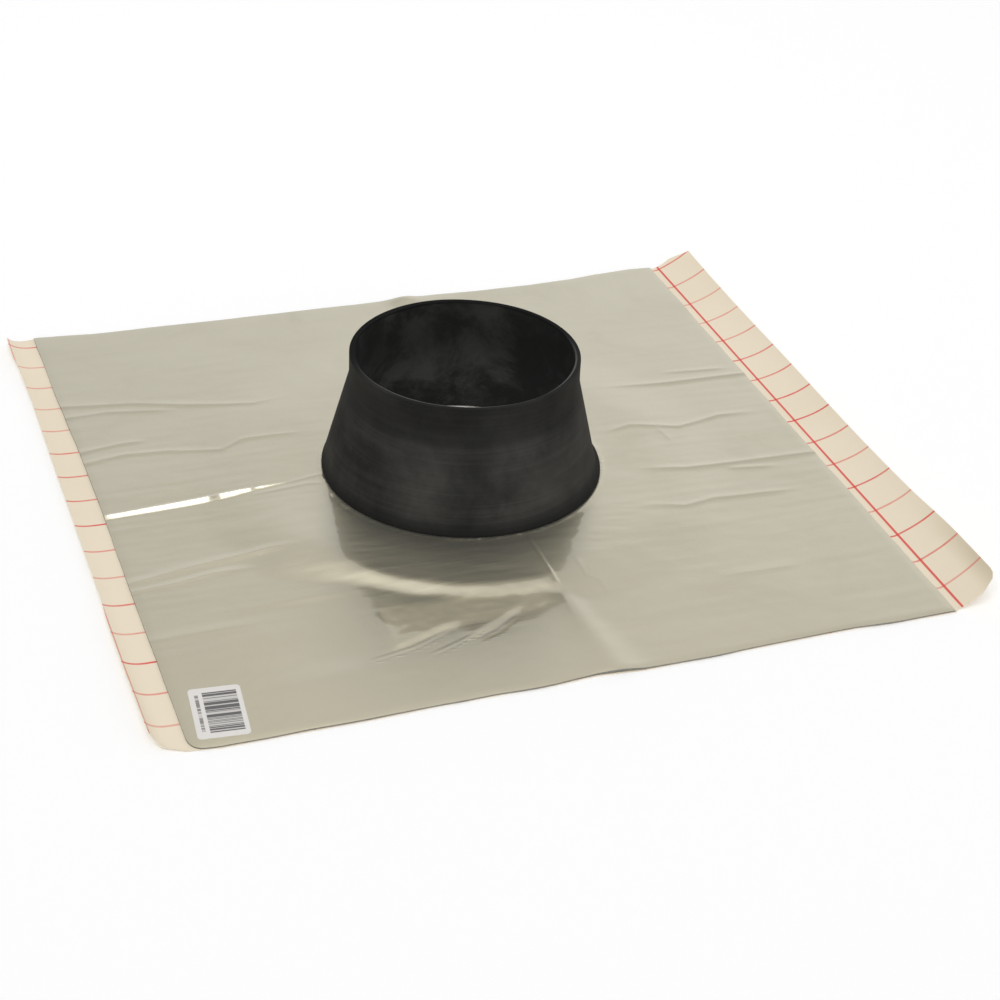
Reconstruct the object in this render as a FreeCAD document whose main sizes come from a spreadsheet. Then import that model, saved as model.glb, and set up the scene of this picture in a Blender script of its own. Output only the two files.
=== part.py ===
import FreeCAD, Part
import os

import Sketcher

# Radon pipe collar: a moulded rubber collar held in an aluminium faced butyl sheet,
# which lies on a release liner in two halves. Millimetres, Z up.
# The origin is on the collar's axis, at the level of the surface that the liner lies on.
# X runs along the front edge of the sheet and Y towards its back edge.

doc = FreeCAD.newDocument("radon_pipe_collar")
sheet = doc.addObject("Spreadsheet::Sheet", "sizes")

SIZES = [
    ("sheet_width", 394.0, "butyl sheet, left to right"),
    ("sheet_depth", 400.0, "butyl sheet, front to back"),
    ("sheet_thickness", 1.0, "foil and butyl together"),
    ("sheet_slope_run", 9.0, "radial run of the slope where the sheet comes down off the flange"),
    ("neck_bore", 117.0, "inner diameter of the neck, stretched over a 125 mm pipe"),
    ("neck_length", 14.0, "neck, from the rim down to its bend into the skirt"),
    ("wall_thickness", 3.0, "rubber wall of the neck"),
    ("foot_wall_thickness", 6.0, "rubber wall at the foot of the skirt"),
    ("collar_height", 70.5, "underside of the flange to the rim"),
    ("foot_diameter", 145.0, "outside of the skirt at its foot"),
    ("lip_overhang", 3.5, "foot lip beyond the foot of the skirt"),
    ("lip_edge_height", 1.6, "upright edge of the foot lip"),
    ("lip_height", 5.0, "foot lip from the sheet to the skirt"),
    ("flange_diameter", 240.0, "base flange under the sheet"),
    ("flange_thickness", 1.5, "base flange"),
    ("rim_bevel", 0.6, "edges of the rim"),
    ("neck_blend", 40.0, "bend between neck and skirt"),
    ("foot_blend", 5.0, "hollow between skirt and foot lip"),
    ("lip_nose_bevel", 0.6, "upper edge of the foot lip"),
    ("lip_bevel", 0.5, "lower edge of the foot lip"),
    ("groove_clearance", 0.2, "sheet's hole around the groove of the collar"),
    ("flange_clearance", 0.5, "flange edge to the top of the sheet's slope"),
    ("liner_thickness", 0.3, "release paper"),
    ("liner_split_offset", 10.0, "split between the liner halves, right of the collar axis"),
    ("liner_split_gap", 0.5, "width of that split"),
    ("liner_hole_margin", 1.0, "liner's opening beyond the collar's own"),
    ("liner_overhang_left", 16.5, "left half beyond the sheet, along the paper"),
    ("liner_overhang_right", 26.5, "right half beyond the sheet, along the paper"),
    ("liner_corner_radius", 11.0, "front outer corners of the liner"),
    ("curl_start", 0.5, "flat paper between the sheet's edge and the curl"),
    ("curl_radius_left_back", 45.0, "curl of the left half at the back edge"),
    ("curl_radius_left_middle", 45.0, "curl of the left half at mid depth"),
    ("curl_radius_left_front", 20.5, "curl of the left half at the front edge"),
    ("curl_radius_right_back", 31.5, "curl of the right half at the back edge"),
    ("curl_radius_right_middle", 74.0, "curl of the right half at mid depth"),
    ("curl_radius_right_front", 19.5, "curl of the right half at the front edge"),
    ("fold_height", 1.2, "pinched fold across the left half of the sheet"),
    ("fold_width", 9.0, "fold, front to back"),
    ("fold_reach", 30.0, "fold on the raised part of the sheet, where it dies out"),
    ("fold_edge_offset", -1.5, "fold at the left edge, behind the collar axis"),
    ("fold_inner_offset", 5.0, "fold at its inner end, behind the collar axis"),
    ("fold_inner_height", 0.15, "fold at its inner end"),
    ("crease_height", 1.4, "soft crease over the liner's split, at the front edge"),
    ("crease_width", 34.0, "crease at the front edge"),
    ("crease_drift", 3.5, "crease at the front edge, right of the liner's split"),
    ("crease_inner_width", 9.0, "crease at the flange edge"),
    ("crease_inner_height", 0.5, "crease at the flange edge"),
    ("label_width", 24.5, "label, left to right"),
    ("label_length", 38.0, "label, front to back"),
    ("label_thickness", 0.15, "label paper"),
    ("label_corner_radius", 2.2, "label corners"),
    ("label_side_inset", 20.0, "label centre from the left edge of the sheet"),
    ("label_front_inset", 21.5, "label centre from the front edge of the sheet"),
    ("label_turn", -5.0, "label turned about Z, degrees"),
]

for row, (alias, value, note) in enumerate(SIZES, start=1):
    sheet.set(f"A{row}", note)
    sheet.set(f"B{row}", str(value))
    sheet.setAlias(f"B{row}", alias)
doc.recompute()

# Heights above the surface that the part lies on
LINER_TOP = "sizes.liner_thickness"
FLANGE_TOP = f"({LINER_TOP} + sizes.flange_thickness)"
SHEET_TOP = f"({LINER_TOP} + sizes.sheet_thickness)"
RAISED_TOP = f"({FLANGE_TOP} + sizes.sheet_thickness)"
LIP_EDGE_TOP = f"({RAISED_TOP} + sizes.lip_edge_height)"
LIP_TOP = f"({RAISED_TOP} + sizes.lip_height)"
RIM_TOP = f"({LINER_TOP} + sizes.collar_height)"
NECK_FOOT = f"({RIM_TOP} - sizes.neck_length)"

# Radii about the collar's axis
BORE = "(sizes.neck_bore / 2)"
NECK = f"({BORE} + sizes.wall_thickness)"
FOOT = "(sizes.foot_diameter / 2)"
OPENING = f"({FOOT} - sizes.foot_wall_thickness)"
LIP = f"({FOOT} + sizes.lip_overhang)"
FLANGE = "(sizes.flange_diameter / 2)"
SHEET_HOLE = f"({FOOT} + sizes.groove_clearance)"
SLOPE_START = f"({FLANGE} + sizes.flange_clearance)"
SLOPE_END = f"({SLOPE_START} + sizes.sheet_slope_run)"
LINER_HOLE = f"({OPENING} + sizes.liner_hole_margin)"

# Half sizes of the sheet
HALF_WIDTH = "(sizes.sheet_width / 2)"
HALF_DEPTH = "(sizes.sheet_depth / 2)"


# Numbers of the points that a sketch's edge has
START = 1
END = 2
CENTRE = 3


def value_of(expression):
    """The number that an expression over the sheet's cells gives."""
    return float(sheet.evalExpression(expression))


def new_body(name):
    """A body for one sub-part; its label names the sub-part."""
    body = doc.addObject("PartDesign::Body", name)
    body.Label = name
    return body


def new_sketch(body, name, plane, offset=None):
    """A sketch on one of the body's own planes, moved along the plane's normal by an expression."""
    sketch = body.newObject("Sketcher::SketchObject", name)
    support = [face for face in body.Origin.OriginFeatures if face.Role == plane][0]
    sketch.AttachmentSupport = [(support, "")]
    sketch.MapMode = "FlatFace"
    if offset:
        sketch.setExpression("AttachmentOffset.Base.z", offset)
    return sketch


def bind(sketch, constraint, expression):
    """Add a dimension whose value follows an expression."""
    index = sketch.addConstraint(constraint)
    sketch.setExpression(f"Constraints[{index}]", expression)


def fix_point(sketch, edge, end, corner):
    """Hold one end of an edge at a corner given as a pair of expressions."""
    across, up = corner
    bind(sketch, Sketcher.Constraint("DistanceX", -1, 1, edge, end, value_of(across)), across)
    bind(sketch, Sketcher.Constraint("DistanceY", -1, 1, edge, end, value_of(up)), up)


def draw_outline(sketch, corners, arcs=None):
    """Draw a closed outline through corners, straight unless arcs gives a side its centre.

    arcs maps the number of the corner where a side starts to that side's centre.
    """
    arcs = arcs or {}
    points = [FreeCAD.Vector(value_of(across), value_of(up), 0) for across, up in corners]
    count = len(points)
    ends = []
    for number in range(count):
        first = points[number]
        last = points[(number + 1) % count]
        if number not in arcs:
            edge = sketch.addGeometry(Part.LineSegment(first, last), False)
            ends.append((edge, START, END))
            continue
        centre = FreeCAD.Vector(value_of(arcs[number][0]), value_of(arcs[number][1]), 0)
        radius = first.distanceToPoint(centre)
        halfway = ((first + last) / 2 - centre).normalize() * radius + centre
        edge = sketch.addGeometry(Part.Arc(first, halfway, last), False)
        start = sketch.getPoint(edge, START)
        runs_forward = start.distanceToPoint(first) < start.distanceToPoint(last)
        ends.append((edge, START, END) if runs_forward else (edge, END, START))
    for number, (edge, first_end, last_end) in enumerate(ends):
        next_edge, next_end, _ = ends[(number + 1) % count]
        sketch.addConstraint(Sketcher.Constraint("Coincident", edge, last_end, next_edge, next_end))
        fix_point(sketch, edge, first_end, corners[number])
    for number, (across, _) in arcs.items():
        edge = ends[number][0]
        bind(sketch, Sketcher.Constraint("DistanceX", -1, 1, edge, CENTRE, value_of(across)), across)


def draw_circle(sketch, radius):
    """Draw a circle about the sketch's origin."""
    circle = Part.Circle(FreeCAD.Vector(0, 0, 0), FreeCAD.Vector(0, 0, 1), value_of(radius))
    edge = sketch.addGeometry(circle, False)
    sketch.addConstraint(Sketcher.Constraint("Coincident", edge, CENTRE, -1, 1))
    bind(sketch, Sketcher.Constraint("Radius", edge, value_of(radius)), radius)


def revolve(body, sketch, name):
    """A full turn of a sketch about the collar's axis."""
    feature = body.newObject("PartDesign::Revolution", name)
    feature.Profile = sketch
    feature.ReferenceAxis = (sketch, ["V_Axis"])
    feature.Angle = 360
    doc.recompute()


def loft(body, sketches, name, ruled):
    """A solid through a row of sketches."""
    feature = body.newObject("PartDesign::AdditiveLoft", name)
    feature.Profile = sketches[0]
    feature.Sections = sketches[1:]
    feature.Ruled = ruled
    doc.recompute()


def pocket(body, sketch, name):
    """Cut a sketch right through the body, both ways."""
    before = body.Shape.Volume
    feature = body.newObject("PartDesign::Pocket", name)
    feature.Profile = sketch
    feature.Type = "ThroughAll"
    feature.Midplane = True
    doc.recompute()
    if not body.Shape.Volume < before:
        raise RuntimeError(name + " cuts nothing")


def ring_edges(body, places):
    """Names of the round edges about the collar's axis at pairs of radius and height."""
    near = 1e-4
    wanted = [(value_of(radius), value_of(height)) for radius, height in places]
    names = []
    for number, edge in enumerate(body.Shape.Edges, start=1):
        if not isinstance(edge.Curve, Part.Circle):
            continue
        for radius, height in wanted:
            if abs(edge.Curve.Radius - radius) < near and abs(edge.Curve.Center.z - height) < near:
                names.append(f"Edge{number}")
    if len(names) < len(wanted):
        raise RuntimeError("an edge to round is missing")
    return names


def dress_rings(body, name, kind, size_property, size, places):
    """Round or bevel the edges about the collar's axis at pairs of radius and height."""
    base = body.Tip
    names = ring_edges(body, places)
    feature = body.newObject(kind, name)
    feature.Base = (base, names)
    feature.setExpression(size_property, size)
    doc.recompute()


def round_rings(body, name, radius, places):
    """Round edges about the collar's axis."""
    dress_rings(body, name, "PartDesign::Fillet", "Radius", radius, places)


def bevel_rings(body, name, size, places):
    """Bevel edges about the collar's axis."""
    dress_rings(body, name, "PartDesign::Chamfer", "Size", size, places)


def make_collar():
    """The rubber moulding: neck, skirt, foot lip, a groove for the sheet's hole, and the base flange."""
    body = new_body("rubber_collar")
    # Each face of the skirt leans in by its own angle and bends into the neck by an arc
    outer_lean = f"atan(({FOOT} - {NECK}) / ({NECK_FOOT} - {LIP_TOP}))"
    inner_lean = f"atan(({OPENING} - {BORE}) / ({NECK_FOOT} - {LIP_TOP}))"
    outer_bend = "sizes.neck_blend"
    inner_bend = "(sizes.neck_blend + sizes.wall_thickness)"
    outer_reach = f"({outer_bend} * tan({outer_lean} / 2))"
    inner_reach = f"({inner_bend} * tan({inner_lean} / 2))"
    outer_centre = (f"{NECK} + {outer_bend}", f"{NECK_FOOT} + {outer_reach}")
    inner_centre = (f"{BORE} + {inner_bend}", f"{NECK_FOOT} + {inner_reach}")
    profile = new_sketch(body, "collar_profile", "XZ_Plane")
    draw_outline(profile, [
        (OPENING, LINER_TOP),
        (FLANGE, LINER_TOP),
        (FLANGE, FLANGE_TOP),
        (FOOT, FLANGE_TOP),
        (FOOT, RAISED_TOP),
        (LIP, RAISED_TOP),
        (LIP, LIP_EDGE_TOP),
        (FOOT, LIP_TOP),
        (f"{NECK} + {outer_reach} * sin({outer_lean})", f"{NECK_FOOT} - {outer_reach} * cos({outer_lean})"),
        (NECK, f"{NECK_FOOT} + {outer_reach}"),
        (NECK, RIM_TOP),
        (BORE, RIM_TOP),
        (BORE, f"{NECK_FOOT} + {inner_reach}"),
        (f"{BORE} + {inner_reach} * sin({inner_lean})", f"{NECK_FOOT} - {inner_reach} * cos({inner_lean})"),
        (OPENING, LIP_TOP),
    ], arcs={8: outer_centre, 12: inner_centre})
    revolve(body, profile, "collar_turned")
    round_rings(body, "foot_hollow", "sizes.foot_blend", [(FOOT, LIP_TOP)])
    bevel_rings(body, "lip_nose", "sizes.lip_nose_bevel", [(LIP, LIP_EDGE_TOP)])
    bevel_rings(body, "lip_under_edge", "sizes.lip_bevel", [(LIP, RAISED_TOP)])
    bevel_rings(body, "rim_edges", "sizes.rim_bevel", [(NECK, RIM_TOP), (BORE, RIM_TOP)])
    return body


def ridge_section(body, name, plane, offset, middle, width, surface, height):
    """A low triangle across a ridge that stands on the sheet's upper surface.

    Its base lies halfway down the sheet, so that the ridge and the sheet are one.
    """
    sketch = new_sketch(body, name, plane, offset)
    base = f"{surface} - sizes.sheet_thickness / 2"
    draw_outline(sketch, [
        (f"{middle} - {width} / 2", base),
        (f"{middle} + {width} / 2", base),
        (middle, f"{surface} + {height}"),
    ])
    return sketch


def add_fold(body):
    """The pinched fold from the left edge of the sheet up onto its raised part."""
    edge = "sizes.fold_edge_offset"
    inner = "sizes.fold_inner_offset"
    height = "sizes.fold_height"
    fold_end = f"({SLOPE_START} - sizes.fold_reach)"
    stations = [
        (HALF_WIDTH, SHEET_TOP, height),
        (SLOPE_END, SHEET_TOP, height),
        (SLOPE_START, RAISED_TOP, height),
        (fold_end, RAISED_TOP, "sizes.fold_inner_height"),
    ]
    sections = []
    for number, (place, surface, tall) in enumerate(stations):
        share = f"({HALF_WIDTH} - {place}) / ({HALF_WIDTH} - {fold_end})"
        middle = f"({edge} + ({inner} - {edge}) * {share})"
        sections.append(ridge_section(body, f"fold_section_{number}", "YZ_Plane", f"-{place}",
                                      middle, "sizes.fold_width", surface, tall))
    loft(body, sections, "sheet_fold", True)


def add_crease(body):
    """The soft crease from the front edge of the sheet up to the flange, over the liner's split."""
    split = "sizes.liner_split_offset"
    inner_width = "sizes.crease_inner_width"
    inner_height = "sizes.crease_inner_height"
    sections = [
        ridge_section(body, "crease_section_0", "XZ_Plane", HALF_DEPTH, f"({split} + sizes.crease_drift)",
                      "sizes.crease_width", SHEET_TOP, "sizes.crease_height"),
        ridge_section(body, "crease_section_1", "XZ_Plane", SLOPE_END, split,
                      inner_width, SHEET_TOP, inner_height),
        ridge_section(body, "crease_section_2", "XZ_Plane", SLOPE_START, split,
                      inner_width, RAISED_TOP, inner_height),
    ]
    loft(body, sections, "sheet_crease", True)


def make_sheet():
    """The butyl sheet: flat, with its hole's surround raised over the flange, a fold and a crease."""
    body = new_body("butyl_sheet")
    plan = new_sketch(body, "sheet_plan", "XY_Plane", LINER_TOP)
    draw_outline(plan, [
        (f"-{HALF_WIDTH}", f"-{HALF_DEPTH}"),
        (HALF_WIDTH, f"-{HALF_DEPTH}"),
        (HALF_WIDTH, HALF_DEPTH),
        (f"-{HALF_WIDTH}", HALF_DEPTH),
    ])
    draw_circle(plan, SLOPE_END)
    flat = body.newObject("PartDesign::Pad", "sheet_flat")
    flat.Profile = plan
    flat.setExpression("Length", "sizes.sheet_thickness")
    doc.recompute()

    rise = new_sketch(body, "sheet_rise", "XZ_Plane")
    draw_outline(rise, [
        (SHEET_HOLE, FLANGE_TOP),
        (SLOPE_START, FLANGE_TOP),
        (SLOPE_END, LINER_TOP),
        (SLOPE_END, SHEET_TOP),
        (SLOPE_START, RAISED_TOP),
        (SHEET_HOLE, RAISED_TOP),
    ])
    revolve(body, rise, "sheet_raised")
    add_fold(body)
    add_crease(body)
    return body


def make_liner_half(name, side, split, overhang, radii):
    """One half of the release liner: flat under the sheet, its free edge curled up.

    side is 1 for the right half and -1 for the left; radii run from the front edge to the back.
    """
    body = new_body(name)
    curl_from = f"({HALF_WIDTH} + sizes.curl_start)"
    plan = new_sketch(body, f"{name}_plan", "XY_Plane")
    draw_outline(plan, [
        (split, f"-{HALF_DEPTH}"),
        (f"{side} * {curl_from}", f"-{HALF_DEPTH}"),
        (f"{side} * {curl_from}", HALF_DEPTH),
        (split, HALF_DEPTH),
    ])
    flat = body.newObject("PartDesign::Pad", f"{name}_flat")
    flat.Profile = plan
    flat.setExpression("Length", LINER_TOP)
    doc.recompute()

    turns = [f"(({overhang} - sizes.curl_start) / {radius} * 180 / pi)" for radius in radii]
    places = [HALF_DEPTH, "0", f"-{HALF_DEPTH}"]
    sections = []
    for station, (place, radius, turn) in enumerate(zip(places, radii, turns)):
        inner = f"({radius} - {LINER_TOP})"
        sketch = new_sketch(body, f"{name}_section_{station}", "XZ_Plane", place)
        centre = (f"{side} * {curl_from}", radius)
        draw_outline(sketch, [
            (f"{side} * {curl_from}", "0"),
            (f"{side} * ({curl_from} + {radius} * sin({turn}))", f"{radius} * (1 - cos({turn}))"),
            (f"{side} * ({curl_from} + {inner} * sin({turn}))", f"{radius} - {inner} * cos({turn})"),
            (f"{side} * {curl_from}", LINER_TOP),
        ], arcs={0: centre, 2: centre})
        sections.append(sketch)
    loft(body, sections, f"{name}_curl", False)

    opening = new_sketch(body, f"{name}_opening_plan", "XY_Plane")
    draw_circle(opening, LINER_HOLE)
    pocket(body, opening, f"{name}_opening")

    # The free edge bows out towards mid depth, so the corner's arc starts a little out from its front end
    front, middle, _ = [f"({curl_from} + {radius} * sin({turn}))" for radius, turn in zip(radii, turns)]
    corner = "sizes.liner_corner_radius"
    outer = f"({middle} - ({middle} - {front}) * (1 - 2 * {corner} / {HALF_DEPTH}) ^ 2)"
    inner = f"{side} * ({outer} - {corner})"
    beyond = f"{side} * ({outer} + {corner})"
    corner_plan = new_sketch(body, f"{name}_corner_plan", "XY_Plane")
    draw_outline(corner_plan, [
        (inner, f"-{HALF_DEPTH}"),
        (inner, f"-{HALF_DEPTH} - {corner}"),
        (beyond, f"-{HALF_DEPTH} - {corner}"),
        (beyond, f"-{HALF_DEPTH} + {corner}"),
        (f"{side} * {outer}", f"-{HALF_DEPTH} + {corner}"),
    ], arcs={4: (inner, f"-{HALF_DEPTH} + {corner}")})
    pocket(body, corner_plan, f"{name}_corner")
    return body


def make_label():
    """The paper label near the front left corner of the sheet."""
    body = new_body("label")
    half_width = "(sizes.label_width / 2)"
    half_length = "(sizes.label_length / 2)"
    plan = new_sketch(body, "label_plan", "XY_Plane")
    draw_outline(plan, [
        (f"-{half_width}", f"-{half_length}"),
        (half_width, f"-{half_length}"),
        (half_width, half_length),
        (f"-{half_width}", half_length),
    ])
    paper = body.newObject("PartDesign::Pad", "label_paper")
    paper.Profile = plan
    paper.setExpression("Length", "sizes.label_thickness")
    doc.recompute()
    upright = [
        f"Edge{number}" for number, edge in enumerate(body.Shape.Edges, start=1)
        if abs(edge.Vertexes[0].Z - edge.Vertexes[-1].Z) > value_of("sizes.label_thickness") / 2
    ]
    corners = body.newObject("PartDesign::Fillet", "label_corners")
    corners.Base = (paper, upright)
    corners.setExpression("Radius", "sizes.label_corner_radius")
    body.Placement.Rotation = FreeCAD.Rotation(FreeCAD.Vector(0, 0, 1), 1)
    body.setExpression("Placement.Rotation.Angle", "sizes.label_turn")
    body.setExpression("Placement.Base.x", f"sizes.label_side_inset - {HALF_WIDTH}")
    body.setExpression("Placement.Base.y", f"sizes.label_front_inset - {HALF_DEPTH}")
    body.setExpression("Placement.Base.z", SHEET_TOP)
    return body


half_gap = "sizes.liner_split_gap / 2"
parts = [
    make_collar(),
    make_sheet(),
    make_liner_half(
        "release_liner_left", -1, f"sizes.liner_split_offset - {half_gap}", "sizes.liner_overhang_left",
        ("sizes.curl_radius_left_front", "sizes.curl_radius_left_middle", "sizes.curl_radius_left_back"),
    ),
    make_liner_half(
        "release_liner_right", 1, f"sizes.liner_split_offset + {half_gap}", "sizes.liner_overhang_right",
        ("sizes.curl_radius_right_front", "sizes.curl_radius_right_middle", "sizes.curl_radius_right_back"),
    ),
    make_label(),
]
doc.recompute()

for item in doc.Objects:
    if "Invalid" in item.State or "Error" in item.State:
        raise RuntimeError(f"{item.Label} did not build: {item.State}")
for part in parts:
    if part.Shape.isNull() or not part.Shape.isValid():
        raise RuntimeError(f"{part.Label} has no valid shape")

os.makedirs("parts", exist_ok=True)
for part in parts:
    part.Shape.exportStep(f"parts/{part.Label}.step")
    box = part.Shape.BoundBox
    print(f"{part.Label}: {len(part.Shape.Solids)} solid, {part.Shape.Volume / 1000:.2f} cm3, "
          f"x {box.XMin:.1f} to {box.XMax:.1f}, y {box.YMin:.1f} to {box.YMax:.1f}, "
          f"z {box.ZMin:.2f} to {box.ZMax:.2f}")
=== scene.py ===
import math

import bpy
import numpy
from mathutils import Matrix, Vector, noise


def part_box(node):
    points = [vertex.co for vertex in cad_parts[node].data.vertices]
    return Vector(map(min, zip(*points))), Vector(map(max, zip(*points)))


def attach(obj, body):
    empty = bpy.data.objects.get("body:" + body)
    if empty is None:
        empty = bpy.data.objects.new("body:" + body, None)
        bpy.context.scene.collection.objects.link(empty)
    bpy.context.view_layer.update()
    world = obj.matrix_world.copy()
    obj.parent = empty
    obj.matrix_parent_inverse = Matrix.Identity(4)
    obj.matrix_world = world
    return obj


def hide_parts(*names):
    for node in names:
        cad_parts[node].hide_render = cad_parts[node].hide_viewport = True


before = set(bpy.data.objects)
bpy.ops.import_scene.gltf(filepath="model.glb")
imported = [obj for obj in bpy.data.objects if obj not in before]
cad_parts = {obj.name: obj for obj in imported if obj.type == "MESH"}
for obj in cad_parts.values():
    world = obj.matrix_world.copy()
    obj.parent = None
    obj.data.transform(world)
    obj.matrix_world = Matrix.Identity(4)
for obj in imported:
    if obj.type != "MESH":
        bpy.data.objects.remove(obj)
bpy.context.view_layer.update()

# Radon pipe collar: a moulded rubber collar in a foil faced butyl sheet, on a ruled release liner.
# Lengths are millimetres in this script and become metres where they reach a mesh or a lamp.
# X runs along the sheet's front edge, Y towards its back edge, and the collar's axis is Z.

MM = 0.001

# How close places are that count as one, and as near each other
SAME_PLACE = 0.01
NEAR = 0.1


def node_box(name):
    """The lowest and highest corner of a CAD node, in millimetres."""
    low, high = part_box(name)
    return low / MM, high / MM


collar_low, collar_high = node_box("rubber_collar")
_, sheet_high = node_box("butyl_sheet")
label_low, label_high = node_box("label")

# Heights above the surface that the part lies on
SHEET_THICKNESS = 1.0
FLANGE_THICKNESS = 1.5
LINER_TOP = collar_low.z
FLANGE_TOP = LINER_TOP + FLANGE_THICKNESS
SHEET_TOP = LINER_TOP + SHEET_THICKNESS
RAISED_TOP = FLANGE_TOP + SHEET_THICKNESS
LIP_EDGE_TOP = RAISED_TOP + 1.6
LIP_TOP = RAISED_TOP + 5.0
RIM_TOP = collar_high.z
NECK_FOOT = RIM_TOP - 14.0

# Radii about the collar's axis
WALL = 3.0
FOOT_WALL = 6.0
BORE = 58.5
NECK = BORE + WALL
FOOT = 72.5
OPENING = FOOT - FOOT_WALL
LIP = FOOT + 3.5
SHEET_HOLE = FOOT + 0.2
FLANGE = collar_high.x
SLOPE_START = FLANGE + 0.5
SLOPE_END = SLOPE_START + 9.0

# The middle of the collar's wall: its radius in the neck, and how fast it widens down the skirt
NECK_MIDDLE = (NECK + BORE) / 2
WALL_SPREAD = (FOOT + OPENING - NECK - BORE) / 2 / (NECK_FOOT - LIP_TOP)

# The sheet's outline
HALF_WIDTH = sheet_high.x
HALF_DEPTH = sheet_high.y

# The liner's two halves, as flat paper
LINER_SPLIT = 10.0
LINER_GAP = 0.5
LINER_HOLE = OPENING + 1.0
CURL_START = HALF_WIDTH + 0.5
LINER_LEFT_EDGE = HALF_WIDTH + 16.5
LINER_RIGHT_EDGE = HALF_WIDTH + 26.1


# Modelling helpers

def clear_selection():
    """Deselect everything, so that an operator acts on the new piece alone."""
    bpy.ops.object.select_all(action="DESELECT")


def choose(piece):
    """Select one piece alone and make it the active one."""
    clear_selection()
    piece.select_set(True)
    bpy.context.view_layer.objects.active = piece


def edit(piece, select_type="VERT"):
    """Open a piece in edit mode."""
    choose(piece)
    bpy.ops.object.mode_set(mode="EDIT")
    bpy.ops.mesh.select_mode(type=select_type)


def close_edit():
    """Go back to object mode."""
    bpy.ops.object.mode_set(mode="OBJECT")


def pick_vertices(piece, wanted):
    """Select the vertices of a piece for which wanted(x, y, z), in millimetres, is true."""
    bpy.ops.mesh.select_all(action="DESELECT")
    close_edit()
    for vertex in piece.data.vertices:
        vertex.select = bool(wanted(*(vertex.co / MM)))
    bpy.ops.object.mode_set(mode="EDIT")


def apply_modifier(piece, kind, **settings):
    """Add a modifier with its settings and apply it."""
    choose(piece)
    modifier = piece.modifiers.new(kind.lower(), kind)
    for setting, value in settings.items():
        setattr(modifier, setting, value)
    bpy.ops.object.modifier_apply(modifier=modifier.name)


def read_points(piece):
    """A piece's vertices as rows of x, y, z in millimetres."""
    points = numpy.empty(len(piece.data.vertices) * 3, numpy.float32)
    piece.data.vertices.foreach_get("co", points)
    return points.reshape(-1, 3).astype(float) / MM


def write_points(piece, points):
    """Put a piece's vertices at rows of x, y, z in millimetres."""
    piece.data.vertices.foreach_set("co", (points * MM).astype(numpy.float32).ravel())
    piece.data.update()


def picked(piece):
    """Which vertices of a piece are selected, as a row of flags."""
    flags = numpy.empty(len(piece.data.vertices), bool)
    piece.data.vertices.foreach_get("select", flags)
    return flags


def settle(piece, node, smooth_angle):
    """Shade a finished piece and tie it to the CAD node that it stands for."""
    choose(piece)
    bpy.ops.object.shade_smooth_by_angle(angle=math.radians(smooth_angle))
    piece.data.name = piece.name
    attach(piece, "root")
    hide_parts(node)


def smooth_step(low, high, value):
    """0 up to low, 1 from high on, and a smooth rise between them."""
    share = numpy.clip((value - low) / (high - low), 0, 1)
    return share * share * (3 - 2 * share)


def hump(value, middle, width):
    """1 in the middle, dying away smoothly to both sides within about twice the width."""
    return numpy.exp(-((value - middle) / width) ** 2)


def noise_at(x, y, seed):
    """Soft noise between -1 and 1 at rows of places, in noise cells."""
    return numpy.array([noise.noise((across, along, seed)) for across, along in zip(x, y)])


def uneven(x, y, height, length, depth, seed):
    """Soft noise of a height, in cells of a length along X and a depth along Y."""
    return height * noise_at(x / length, y / depth, seed)


def noise_round(angle, closeness, seed):
    """Soft noise that runs round a circle and meets itself there."""
    return noise_at(numpy.cos(angle) * closeness, numpy.sin(angle) * closeness, seed)


# Node helpers

def add_node(tree, kind, values=None, **settings):
    """Add a node, set its own settings, and fill its inputs with values or link them to sockets."""
    made = tree.nodes.new(kind)
    for setting, value in settings.items():
        setattr(made, setting, value)
    for name, value in (values or {}).items():
        if isinstance(value, bpy.types.NodeSocket):
            tree.links.new(value, made.inputs[name])
        else:
            made.inputs[name].default_value = value
    return made


def calculate(tree, operation, first, second=0.0):
    """The result of one sum on two values."""
    return add_node(tree, "ShaderNodeMath", {0: first, 1: second}, operation=operation).outputs[0]


def plus(tree, first, second):
    """Two values added together."""
    return calculate(tree, "ADD", first, second)


def times(tree, first, *others):
    """A value multiplied by each of the others in turn."""
    for other in others:
        first = calculate(tree, "MULTIPLY", first, other)
    return first


def distance(tree, first, second):
    """How far apart two values are."""
    return calculate(tree, "ABSOLUTE", calculate(tree, "SUBTRACT", first, second))


def random_value(tree, number):
    """A fixed value between 0 and 1 for each whole number."""
    drawn = add_node(tree, "ShaderNodeTexWhiteNoise", {"W": number}, noise_dimensions="1D")
    return drawn.outputs["Value"]


def spread(tree, value, low, high, at_low=0.0, at_high=1.0):
    """Take a value from the range low to high onto another range, with smooth ends."""
    made = add_node(tree, "ShaderNodeMapRange", {
        "Value": value, "From Min": low, "From Max": high, "To Min": at_low, "To Max": at_high,
    }, interpolation_type="SMOOTHSTEP")
    return made.outputs["Result"]


def mix_colours(tree, share, first, second):
    """One colour going over into another."""
    made = add_node(tree, "ShaderNodeMix", {0: share, 6: first, 7: second}, data_type="RGBA")
    return made.outputs[2]


def place_on(tree):
    """The place on a piece in metres, as its object coordinates give it."""
    return add_node(tree, "ShaderNodeTexCoord").outputs["Object"]


def flat_place(tree, place):
    """The first two coordinates of a place, in millimetres."""
    axes = add_node(tree, "ShaderNodeSeparateXYZ", {0: place}).outputs
    return [calculate(tree, "DIVIDE", axes[name], MM) for name in ("X", "Y")]


def new_material(name, **constants):
    """A material with a Principled shader whose constant sockets are set by name."""
    material = bpy.data.materials.new(name)
    material.use_nodes = True
    tree = material.node_tree
    shader = tree.nodes["Principled BSDF"]
    for socket, value in constants.items():
        shader.inputs[socket.replace("_", " ")].default_value = value
    return material, tree, shader


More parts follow.
